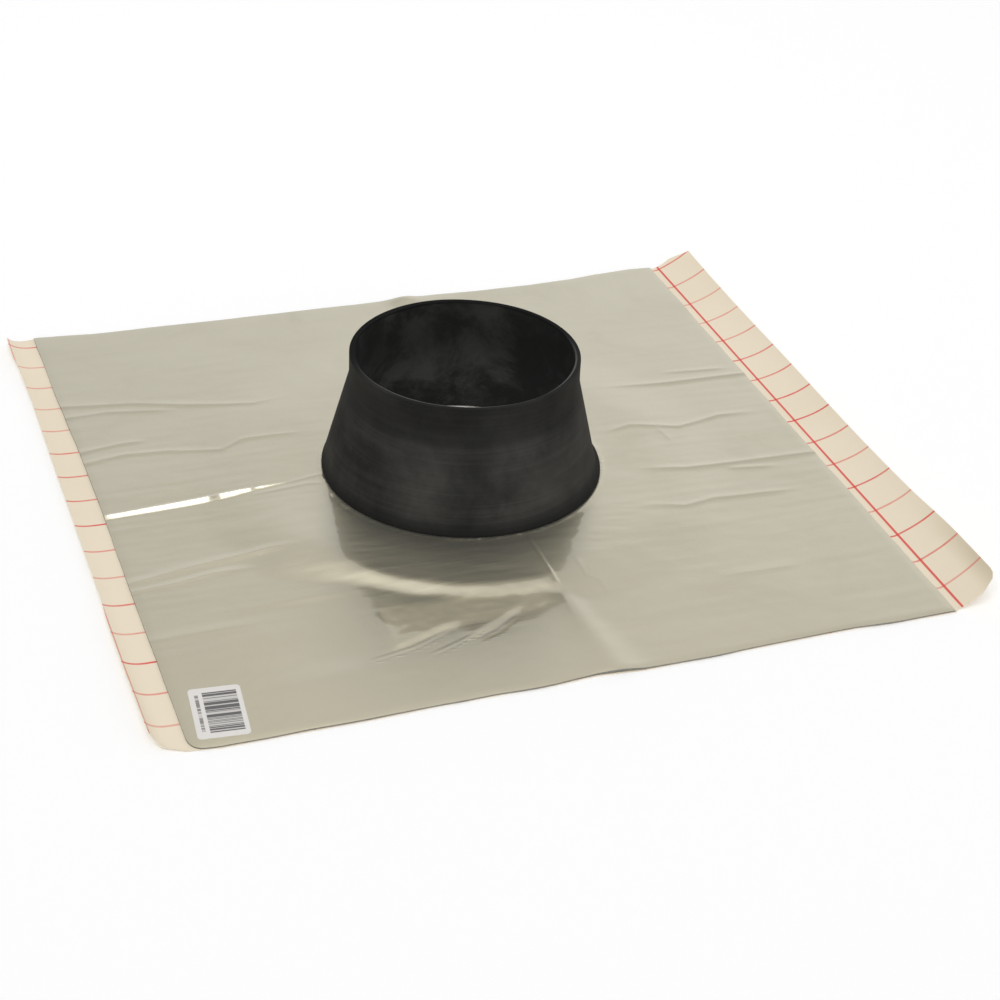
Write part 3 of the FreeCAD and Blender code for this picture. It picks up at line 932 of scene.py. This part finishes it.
def crease_map(x, y):
    """For each place: how far it lies beside the nearest wrinkle, that one's sharpness, and the crinkle.

    The distance is in fine half widths.
    """
    nearest = numpy.full(x.shape, FINE_REACH)
    sharpness = numpy.zeros(x.shape)
    for _, _, sharp, line in WRINKLES.values():
        beside, fade = beside_line(x, y, line)
        nearer = abs(beside) < abs(nearest)
        nearest = numpy.where(nearer, beside, nearest)
        beside_fade = smooth_step(FINE_REACH, FINE_FADE_START, abs(beside))
        sharpness = numpy.where(nearer, sharp * fade * beside_fade, sharpness)
    return numpy.stack([nearest / FINE_HALF_WIDTH, sharpness, crinkled_patch(x, y)], axis=1)


def fold_middle(x):
    """The place of the fold's crest, front to back, along the left half."""
    share = numpy.clip((x - FOLD_OUTER) / (FOLD_INNER - FOLD_OUTER), 0, 1)
    return FOLD_OUTER_Y + (FOLD_INNER_Y - FOLD_OUTER_Y) * share


def pinched_fold(x, y):
    """The sharp fold across the left half: a flat front face, a steeper back and two pinches."""
    widened = smooth_step(FOLD_OUTER, FOLD_OUTER + FOLD_WIDENS, x)
    run = FOLD_OUTER_RUN + (FOLD_MIDDLE_RUN - FOLD_OUTER_RUN) * widened
    run = run * smooth_step(*FOLD_TAPER, x)
    for pinch in FOLD_PINCHES:
        run = run * (1 - PINCH_DEPTH * hump(x, pinch, PINCH_WIDTH))
    offset = y - fold_middle(x)
    front = run + offset
    back = run - offset / FOLD_BACK_SHARE
    return FOLD_PITCH * numpy.clip(numpy.minimum(front, back), 0, None)


def soft_crease(x, y):
    """The crease over the liner's split: broad at the front edge, a thin line near the collar."""
    share = numpy.clip((-SLOPE_END - y) / (HALF_DEPTH - SLOPE_END), 0, 1)
    middle = CREASE_X + CREASE_DRIFT * share
    width = CREASE_INNER_WIDTH + CREASE_WIDENS * share
    height = CREASE_INNER_HEIGHT + (CREASE_HEIGHT - CREASE_INNER_HEIGHT) * share
    broad = height * hump(x, middle, width) * smooth_step(-SLOPE_START + 3, -SLOPE_END + 2, y)
    thin = CREASE_LINE_HEIGHT * hump(x, CREASE_X, CREASE_LINE_WIDTH)
    thin = thin * smooth_step(-LIP, -LIP - 6, y) * (1 - smooth_step(-SLOPE_START, -SLOPE_END, y))
    return broad + thin


def ledge(x, y, first, last, height, drop, run):
    """A low step in the foil: it rises behind a line, and falls away to a drop within a run behind it."""
    slant = (last[1] - first[1]) / (last[0] - first[0])
    behind = y - first[1] - slant * (x - first[0])
    level = height - (height + drop) * numpy.clip((behind - LEDGE_RISE) / run, 0, 1)
    level = level * smooth_step(0, LEDGE_RISE, behind)
    level = level * smooth_step(run + LEDGE_TAIL, run + LEDGE_RISE, behind)
    return level * smooth_step(*LEDGE_START, x - first[0]) * smooth_step(*LEDGE_END, x - last[0])


def raised_round(radius, angle):
    """The foil's level over the flange and round it, and how it is dished at the left of the front."""
    bearing = numpy.degrees(angle)
    steep = smooth_step(*STEEP_RIGHT, bearing) * smooth_step(*STEEP_LEFT, bearing)
    slope_top = SLOPE_START - SOFT_TOP + STEEP_TOP_SHIFT * steep
    slope_foot = SLOPE_END + SOFT_FOOT - STEEP_FOOT_SHIFT * steep
    fallen = smooth_step(slope_top, slope_foot, radius)
    dished = DISH_PITCH * hump(bearing, DISH_BEARING, DISH_SPREAD) * (radius - DISH_START) * (1 - fallen)
    return RAISED_TOP - FLANGE_THICKNESS * fallen, dished


def dip(x, y):
    """How far the foil falls to the left of the crinkled patch."""
    beyond = (PATCH_EDGE_X - x) / DIP_RUN
    falls = DIP_DEPTH * numpy.clip(beyond, 0, 1) * smooth_step(*DIP_END, beyond)
    return falls * smooth_step(*DIP_BACK, y) * smooth_step(*DIP_FRONT, y)


def unevenness(x, y, radius):
    """Swells, ripples and crumples all over the foil."""
    swell = uneven(x, y, height=0.22, length=75, depth=48, seed=0.7)
    ripple = uneven(x, y, height=0.06, length=40, depth=11, seed=5.2)
    crumple = uneven(x, y, height=0.035, length=9, depth=5, seed=9.6)
    crumple = crumple + uneven(x, y, height=0.050, length=60, depth=4.5, seed=3.1)
    on_raised = hump(radius, middle=98, width=13) * smooth_step(-20, -70, y)
    slanted = uneven(x, y + 0.25 * x, height=0.065, length=20, depth=3.4, seed=11.3)
    crumple = crumple + on_raised * slanted
    from_label = numpy.hypot(x - LABEL_CENTRE[0], y - LABEL_CENTRE[1])
    open_foil = LABEL_CALM + (1 - LABEL_CALM) * smooth_step(*LABEL_CALM_END, from_label)
    by_fold = hump(y, fold_middle(x), FOLD_CALM_REACH) * smooth_step(*FOLD_SIDE, x)
    mirrored = hump(x, middle=-30, width=80) * hump(y, middle=-150, width=36)
    open_foil = open_foil * (1 - FOLD_CALM * by_fold) * (1 - FRONT_CALM * mirrored)
    return (swell + ripple + crumple) * open_foil


def foil_height(x, y):
    """The height of the foil's upper surface at rows of places."""
    radius = numpy.hypot(x, y)
    angle = numpy.arctan2(y, x)
    surface, dished = raised_round(radius, angle)
    at_back = smooth_step(HALF_DEPTH - BACK_KINK_RUN, HALF_DEPTH, y)
    kink = BACK_KINK_HEIGHT * hump(x, BACK_KINK_X, BACK_KINK_WIDTH) * at_back
    relief = pinched_fold(x, y) + soft_crease(x, y) + dished + kink - dip(x, y)
    for form in LEDGES:
        relief = relief + ledge(x, y, *form)
    for width, height, _, line in WRINKLES.values():
        beside, fade = beside_line(x, y, line)
        relief = relief + height * fade * hump(beside, 0, width)
    pucker = PUCKER_HEIGHT * noise_round(angle, PUCKER_CLOSENESS, 2.2)
    pucker = pucker * hump(radius, SLOPE_END, PUCKER_REACH)
    crinkles = uneven(x, y, height=0.14, length=5.5, depth=4.5, seed=13.7)
    relief = relief + unevenness(x, y, radius) + pucker + crinkled_patch(x, y) * crinkles
    ragged = 1 + BEAD_RAGGED * noise_round(angle, BEAD_CLOSENESS, 7.7)
    bead = BEAD_HEIGHT * ragged * hump(radius, LIP + 1.0, BEAD_WIDTH)
    clear_of_lip = smooth_step(LIP + 0.3, LIP + 5.0, radius)
    return surface + relief * clear_of_lip + bead * smooth_step(LIP, LIP + 0.8, radius)


SHEET_COLUMNS = 290
SHEET_ROWS = 316
MIDDLE_CLOSENESS = 0.42
FOLD_ROWS_REACH = 30
HOLE_INSET = 0.4
HOLE_REACH = 5
FOIL_CORNER = 7.0
LEFT_DRIFT = 1.0
LEFT_SKEW = 2.3
LEFT_SKEW_FROM = 20
RIGHT_DRIFT = 1.5
EDGE_ZONE = 5
EDGE_BEND = 0.2
UNDERSIDE_SHARE = 0.8
UNDERSIDE_LIFT = 0.7
FOIL_FACES_UP = 0.5

# How far outside square the sheet and the liner are cut, at places along the back and the front edge
CUT_RUN = 12
BACK_CUT = [
    (-213, 1.0), (-197, 4.3), (-184, 2.5), (-165, 0.2), (-100, -0.6), (5, -1.8), (48, -1.2), (75, -2.8),
    (112, -3.6), (140, -2.4), (156, 0.2), (182, 1.4), (197, 0.4), (204, 0.2), (210, 1.8), (216, -0.3),
    (223, -3.7),
]
FRONT_CUT = [
    (-200, 1.0), (-182, 3.3), (-140, 2.7), (-110, 2.6), (-75, 1.2), (-20, 1.2), (2, -0.4), (25, 1.6),
    (60, 0.9), (105, -0.6), (140, -1.4), (165, -0.3), (196, -0.3), (198, -2.4), (206, -1.4), (214, -1.2),
]


def cut_edges(x, y):
    """How far the uneven cuts move each place, which dies away within a short run from the edge."""
    back = numpy.interp(x, *zip(*BACK_CUT))
    front = numpy.interp(x, *zip(*FRONT_CUT))
    at_back = smooth_step(HALF_DEPTH - CUT_RUN, HALF_DEPTH, y)
    at_front = smooth_step(-HALF_DEPTH + CUT_RUN, -HALF_DEPTH, y)
    return back * at_back - front * at_front


def draw_in(share):
    """Shares from -1 to 1 with their spacing drawn in towards the middle."""
    return (1 - MIDDLE_CLOSENESS) * share + MIDDLE_CLOSENESS * share ** 3


def make_sheet(foil, butyl):
    """The foil faced sheet, with its hole, its raised round over the flange, and its folds."""
    clear_selection()
    bpy.ops.mesh.primitive_grid_add(x_subdivisions=SHEET_COLUMNS, y_subdivisions=SHEET_ROWS, size=2 * MM)
    piece = bpy.context.object
    piece.name = "foil_sheet"
    points = read_points(piece)
    points[:, 0] = HALF_WIDTH * draw_in(points[:, 0])
    points[:, 1] = HALF_DEPTH * draw_in(points[:, 1])
    on_left = smooth_step(*FOLD_SIDE, points[:, 0])
    points[:, 1] += fold_middle(points[:, 0]) * on_left * hump(points[:, 1], 0, FOLD_ROWS_REACH)
    write_points(piece, points)
    piece.data.materials.append(foil)
    piece.data.materials.append(butyl)

    # The hole: the faces inside it go, and its edge is drawn onto its circle
    edit(piece)
    pick_vertices(piece, lambda x, y, z: math.hypot(x, y) < SHEET_HOLE - HOLE_INSET)
    bpy.ops.mesh.delete(type="VERT")
    bpy.ops.mesh.select_all(action="DESELECT")
    bpy.ops.mesh.select_non_manifold(extend=False)
    close_edit()
    points = read_points(piece)
    rim = picked(piece)
    radius = numpy.hypot(points[:, 0], points[:, 1])
    hole_rim = rim & (radius < SHEET_HOLE + HOLE_REACH)
    points[hole_rim, :2] *= (SHEET_HOLE / radius[hole_rim])[:, None]

    # The front left corner is rounded, and the side edges aren't quite square to the front one
    into_corner = -points[:, :2] - (HALF_WIDTH - FOIL_CORNER, HALF_DEPTH - FOIL_CORNER)
    in_corner = (into_corner > 0).all(axis=1)
    reach = into_corner[in_corner]
    drawn_in = reach * (reach.max(axis=1) / numpy.hypot(*reach.T))[:, None]
    points[in_corner, :2] += reach - drawn_in
    left_drift = LEFT_DRIFT - LEFT_SKEW * smooth_step(LEFT_SKEW_FROM, HALF_DEPTH, points[:, 1])
    points[:, 0] += left_drift * smooth_step(-HALF_WIDTH / 2, -HALF_WIDTH, points[:, 0])
    points[:, 0] -= RIGHT_DRIFT * smooth_step(HALF_WIDTH / 2, HALF_WIDTH, points[:, 0])
    points[:, 1] += cut_edges(points[:, 0], points[:, 1])

    # The outer edge wanders a little, as a cut by hand does, and its top is rounded off
    edge_x = smooth_step(HALF_WIDTH - EDGE_ZONE, HALF_WIDTH, abs(points[:, 0]))
    edge_y = smooth_step(HALF_DEPTH - EDGE_ZONE, HALF_DEPTH, abs(points[:, 1]))
    flat_x, flat_y = points[:, 0].copy(), points[:, 1].copy()
    sides = 3 * numpy.sign(flat_x)
    ends = 3 * numpy.sign(flat_y)
    points[:, 0] += edge_x * uneven(flat_y, sides, height=0.45, length=26, depth=1, seed=1.5)
    points[:, 1] += edge_y * uneven(flat_x, ends, height=0.55, length=24, depth=1, seed=4.5)
    points[:, 2] = foil_height(points[:, 0], points[:, 1])
    points[rim & ~hole_rim, 2] -= EDGE_BEND
    write_points(piece, points)

    # The edges of the sheet and of the hole go down to the underside, which is closed by three bands
    edit(piece, "EDGE")
    bpy.ops.mesh.select_non_manifold(extend=False)
    bpy.ops.mesh.extrude_edges_indiv()
    close_edit()
    points = read_points(piece)
    lower = picked(piece)
    radius = numpy.hypot(points[:, 0], points[:, 1])
    points[lower & (radius < SLOPE_START), 2] = FLANGE_TOP
    outer_edge = lower & (radius > SLOPE_END)
    lifted = numpy.clip(points[outer_edge, 2] - SHEET_TOP, 0, None)
    points[outer_edge, 2] = LINER_TOP + numpy.clip(UNDERSIDE_SHARE * lifted, 0, UNDERSIDE_LIFT)
    write_points(piece, points)
    edit(piece, "EDGE")
    pick_vertices(piece, lambda x, y, z: (
        abs(z - FLANGE_TOP) < SAME_PLACE and math.hypot(x, y) < SHEET_HOLE + NEAR))
    bands = ((SHEET_HOLE, SLOPE_START, 0.0), (SLOPE_START, SLOPE_END, LINER_TOP - FLANGE_TOP))
    for inner, outer, drop in bands:
        bpy.ops.mesh.extrude_edges_indiv()
        bpy.ops.transform.resize(value=(outer / inner, outer / inner, 1.0), center_override=(0, 0, 0))
        bpy.ops.transform.translate(value=(0, 0, drop * MM))
    bpy.ops.mesh.select_all(action="DESELECT")
    bpy.ops.mesh.select_non_manifold(extend=False)
    bpy.ops.mesh.bridge_edge_loops()
    bpy.ops.mesh.select_all(action="SELECT")
    bpy.ops.mesh.normals_make_consistent(inside=False)
    close_edit()
    for face in piece.data.polygons:
        face.material_index = 1 if face.normal.z < FOIL_FACES_UP else 0
    points = read_points(piece)
    creases = piece.data.attributes.new(CREASE_MAP, "FLOAT_VECTOR", "POINT")
    creases.data.foreach_set("vector", crease_map(points[:, 0], points[:, 1]).ravel())
    settle(piece, "butyl_sheet", smooth_angle=26)


# Release liner

FLAT_COLUMNS = 44
CURL_COLUMNS = 34
LINER_ROWS = 110
CURL_ZONE = HALF_WIDTH - 6.0
CURL_STEPS = 32
BEND_RUN = 3.0
PRINT_FACES_UP = 0.05
PRINT_FACES_IN = -0.3


def through_three(front, middle, back, y):
    """A smooth value along the depth with given values at the front edge, the middle and the back edge."""
    share = y / HALF_DEPTH
    return middle + (back - front) / 2 * share + ((back + front) / 2 - middle) * share ** 2


def curled_path(length, first_turn, further_turn, width):
    """How far paper goes out and up within a length of it, and how far it has turned there.

    It bends by the first turn in a short run, and by the further turn on its way to the free edge.
    """
    def turn_at(place):
        return first_turn * smooth_step(0, BEND_RUN, place) + further_turn * (place / width) ** 2

    out = numpy.zeros(length.shape)
    up = numpy.zeros(length.shape)
    for step in range(CURL_STEPS):
        turn = turn_at(length * (step + 0.5) / CURL_STEPS)
        out += numpy.cos(turn) * length / CURL_STEPS
        up += numpy.sin(turn) * length / CURL_STEPS
    return out, up, turn_at(length)


def make_liner_half(
        name, node, side, free_edge, corner, first_turns, further_turns, cut_drift, printed, plain):
    """One half of the liner: flat paper with its share of the round opening, its free edge curled up.

    side is 1 for the right half and -1 for the left, and corner is the radius of its front corner. The
    turns are the free edge's at the front, middle and back, in radians. cut_drift says how far further
    out that edge is cut along the depth.
    """
    split = side * LINER_SPLIT + LINER_GAP / 2
    clear_selection()
    bpy.ops.mesh.primitive_grid_add(
        x_subdivisions=FLAT_COLUMNS + CURL_COLUMNS, y_subdivisions=LINER_ROWS, size=2 * MM)
    piece = bpy.context.object
    piece.name = name
    points = read_points(piece)
    column = (points[:, 0] + 1) / 2 * (FLAT_COLUMNS + CURL_COLUMNS)
    flat_share = numpy.clip(column / FLAT_COLUMNS, 0, 1)
    curl_share = numpy.clip((column - FLAT_COLUMNS) / CURL_COLUMNS, 0, 1)
    y = points[:, 1] * HALF_DEPTH
    edge = free_edge + cut_drift(y)
    from_front = numpy.clip(y + HALF_DEPTH, 0, corner)
    edge = edge - corner + numpy.sqrt(corner ** 2 - (corner - from_front) ** 2)
    out = split + (CURL_ZONE - split) * flat_share + (edge - CURL_ZONE) * curl_share
    points[:, 0] = side * out
    points[:, 1] = y + cut_edges(side * out, y)
    points[:, 2] = 0.0
    write_points(piece, points)
    if side < 0:
        edit(piece)
        bpy.ops.mesh.select_all(action="SELECT")
        bpy.ops.mesh.flip_normals()
        close_edit()
    apply_modifier(piece, "SOLIDIFY", thickness=LINER_TOP * MM, offset=1.0)

    clear_selection()
    bpy.ops.mesh.primitive_cylinder_add(vertices=180, radius=LINER_HOLE * MM, depth=20 * MM)
    cutter = bpy.context.object
    apply_modifier(piece, "BOOLEAN", operation="DIFFERENCE", object=cutter, solver="EXACT")
    bpy.data.objects.remove(cutter)

    # The print follows the flat paper, so the map is laid before the paper curls
    points = read_points(piece)
    paper_map = piece.data.uv_layers.new(name=PAPER_MAP)
    for loop in piece.data.loops:
        paper_map.data[loop.index].uv = points[loop.vertex_index, :2] * MM
    out = side * points[:, 0]
    y = points[:, 1]
    height = points[:, 2]
    own_row = numpy.full(y.shape, side * 4.0)
    waver = 1 + uneven(y, own_row, height=0.05, length=38, depth=1, seed=6.3)
    first_turn = through_three(*first_turns, y)
    further_turn = through_three(*further_turns, y) * waver
    length = numpy.clip(out - CURL_START, 0, None)
    reach, rise, turn = curled_path(length, first_turn, further_turn, free_edge - CURL_START)
    curled = length > 0
    points[curled, 0] = (side * (CURL_START + reach - height * numpy.sin(turn)))[curled]
    points[curled, 2] = (rise + height * numpy.cos(turn))[curled]
    write_points(piece, points)
    piece.data.materials.append(printed)
    piece.data.materials.append(plain)
    for face in piece.data.polygons:
        faces_in = side * face.normal.x < PRINT_FACES_IN
        face.material_index = 0 if face.normal.z > PRINT_FACES_UP or faces_in else 1
    settle(piece, node, smooth_angle=40)


def left_cut(y):
    """How far further out the left half's free edge is cut, along the depth."""
    narrow = smooth_step(-110, -70, y) * (1 - smooth_step(165, 190, y))
    return 2.2 * smooth_step(120, 200, y) - 1.3 * narrow


def right_cut(y):
    """How far further out the right half's free edge is cut, along the depth."""
    return 0.3 * numpy.sin(y / 31) + 1.2 * smooth_step(-100, -150, y)


# Label

def make_label(paper):
    """The small paper label, following the foil under it."""
    clear_selection()
    bpy.ops.mesh.primitive_plane_add(size=1.0)
    piece = bpy.context.object
    piece.name = "paper_label"
    piece.scale = (LABEL_WIDTH * MM, LABEL_LENGTH * MM, 1.0)
    bpy.ops.object.transform_apply(scale=True)
    edit(piece)
    bpy.ops.mesh.select_all(action="SELECT")
    bpy.ops.mesh.bevel(offset=LABEL_CORNER * MM, segments=6, affect="VERTICES")
    cut_step = 3.0
    lift = 0.02
    for direction, length in (((1, 0, 0), LABEL_WIDTH), ((0, 1, 0), LABEL_LENGTH)):
        cuts = int(length / cut_step)
        for cut in range(1, cuts):
            place = Vector(direction) * (cut / cuts - 0.5) * length * MM
            bpy.ops.mesh.select_all(action="SELECT")
            bpy.ops.mesh.bisect(plane_co=place, plane_no=direction)
    close_edit()
    apply_modifier(piece, "SOLIDIFY", thickness=LABEL_THICKNESS * MM, offset=1.0)
    edit(piece)
    bpy.ops.mesh.select_all(action="SELECT")
    bpy.ops.mesh.normals_make_consistent(inside=False)
    close_edit()
    turn = Matrix.Rotation(LABEL_TURN, 4, "Z")
    place = Matrix.Translation(Vector((*LABEL_CENTRE, 0.0)) * MM)
    piece.data.transform(place @ turn)
    points = read_points(piece)
    points[:, 2] += foil_height(points[:, 0], points[:, 1]) + lift
    write_points(piece, points)
    piece.data.materials.append(paper)
    settle(piece, "label", smooth_angle=35)


# Floor and light

FLOOR_RADIUS = 14000.0
FLOOR_DROP = 0.3


def make_floor():
    """A plain white floor, just under the part."""
    clear_selection()
    bpy.ops.mesh.primitive_circle_add(
        vertices=96, radius=FLOOR_RADIUS * MM, fill_type="NGON", location=(0, 0, -FLOOR_DROP * MM))
    floor = bpy.context.object
    floor.name = "floor"
    bpy.ops.object.transform_apply(location=True)
    material, _, _ = new_material(
        "floor_white", Base_Color=(0.99, 0.99, 0.99, 1.0), Roughness=0.9, Specular_IOR_Level=0.1,
        Emission_Color=(1.0, 1.0, 1.0, 1.0), Emission_Strength=0.05)
    floor.data.materials.append(material)


def make_world():
    """A soft room: bright near the horizon, dimmer overhead and a little brighter to the right."""
    world = bpy.data.worlds.new("soft_room")
    bpy.context.scene.world = world
    world.use_nodes = True
    tree = world.node_tree
    direction = add_node(tree, "ShaderNodeTexCoord").outputs["Generated"]
    axes = add_node(tree, "ShaderNodeSeparateXYZ", {0: direction}).outputs
    ramp = add_node(tree, "ShaderNodeValToRGB", {"Fac": axes["Z"]})
    stops = (
        (0.0, 0.80), (0.20, 0.70), (0.45, 0.69), (0.52, 0.64), (0.59, 0.45), (0.66, 0.40), (0.75, 0.44),
        (0.80, 0.56), (1.0, 0.60))
    elements = ramp.color_ramp.elements
    while len(elements) < len(stops):
        elements.new(0.5)
    for element, (place, level) in zip(elements, stops):
        element.position = place
        element.color = (level, level, level, 1.0)
    middle_strength = 0.92
    right_gain = 0.42
    background = tree.nodes["Background"]
    tree.links.new(ramp.outputs["Color"], background.inputs["Color"])
    strength = plus(tree, times(tree, axes["X"], right_gain), middle_strength)
    tree.links.new(strength, background.inputs["Strength"])


def add_softbox(name, place, aim, size, watts):
    """A square area lamp that faces a point."""
    clear_selection()
    bpy.ops.object.light_add(type="AREA", location=Vector(place) * MM)
    lamp = bpy.context.object
    lamp.name = name
    lamp.data.size = size * MM
    lamp.data.energy = watts
    lamp.rotation_euler = (Vector(place) - Vector(aim)).to_track_quat("Z", "Y").to_euler()


def add_sun(name, azimuth, elevation, strength, angle):
    """A far soft lamp; azimuth 0 is at the front, and elevation is above the horizon."""
    across = math.radians(azimuth)
    above = math.radians(elevation)
    towards = Vector((
        math.sin(across) * math.cos(above), -math.cos(across) * math.cos(above), math.sin(above)))
    clear_selection()
    bpy.ops.object.light_add(type="SUN")
    lamp = bpy.context.object
    lamp.name = name
    lamp.data.energy = strength
    lamp.data.angle = math.radians(angle)
    lamp.rotation_euler = towards.to_track_quat("Z", "Y").to_euler()


def make_light():
    """Soft light from the front left, and a softbox over the back that the fold mirrors."""
    add_sun("front_key", azimuth=-35.0, elevation=55.0, strength=1.5, angle=50.0)
    add_softbox("back_softbox", (107.0, 527.0, 1381.0), aim=(-150.0, 0.0, 0.0), size=360.0, watts=1.1)


make_camera()
make_floor()
make_world()
make_light()
make_collar(make_rubber())
make_sheet(make_foil(), make_butyl())
plain_paper = make_plain_paper()
make_liner_half(
    "liner_left", "release_liner_left", side=-1, free_edge=LINER_LEFT_EDGE, corner=16.0,
    first_turns=(0.0, 0.0, 0.0), further_turns=(1.05, 0.40, 0.62), cut_drift=left_cut,
    printed=make_printed_paper(
        "liner_print_left", across_at=193.6, along_at=-(LINER_LEFT_EDGE - 0.6), along_width=0.7,
        across_strength=0.95, along_strength=0.7, wander=2.0, tip=0.0),
    plain=plain_paper)
make_liner_half(
    "liner_right", "release_liner_right", side=1, free_edge=LINER_RIGHT_EDGE, corner=11.0,
    first_turns=(0.61, 0.18, 0.42), further_turns=(0.25, 0.45, 0.30), cut_drift=right_cut,
    printed=make_printed_paper(
        "liner_print_right", across_at=196.8, along_at=HALF_WIDTH + 3.7, along_width=1.3,
        across_strength=1.0, along_strength=0.88, wander=0.0, tip=0.45),
    plain=plain_paper)
make_label(make_label_paper())

scene = bpy.context.scene
scene.view_settings.view_transform = "Standard"
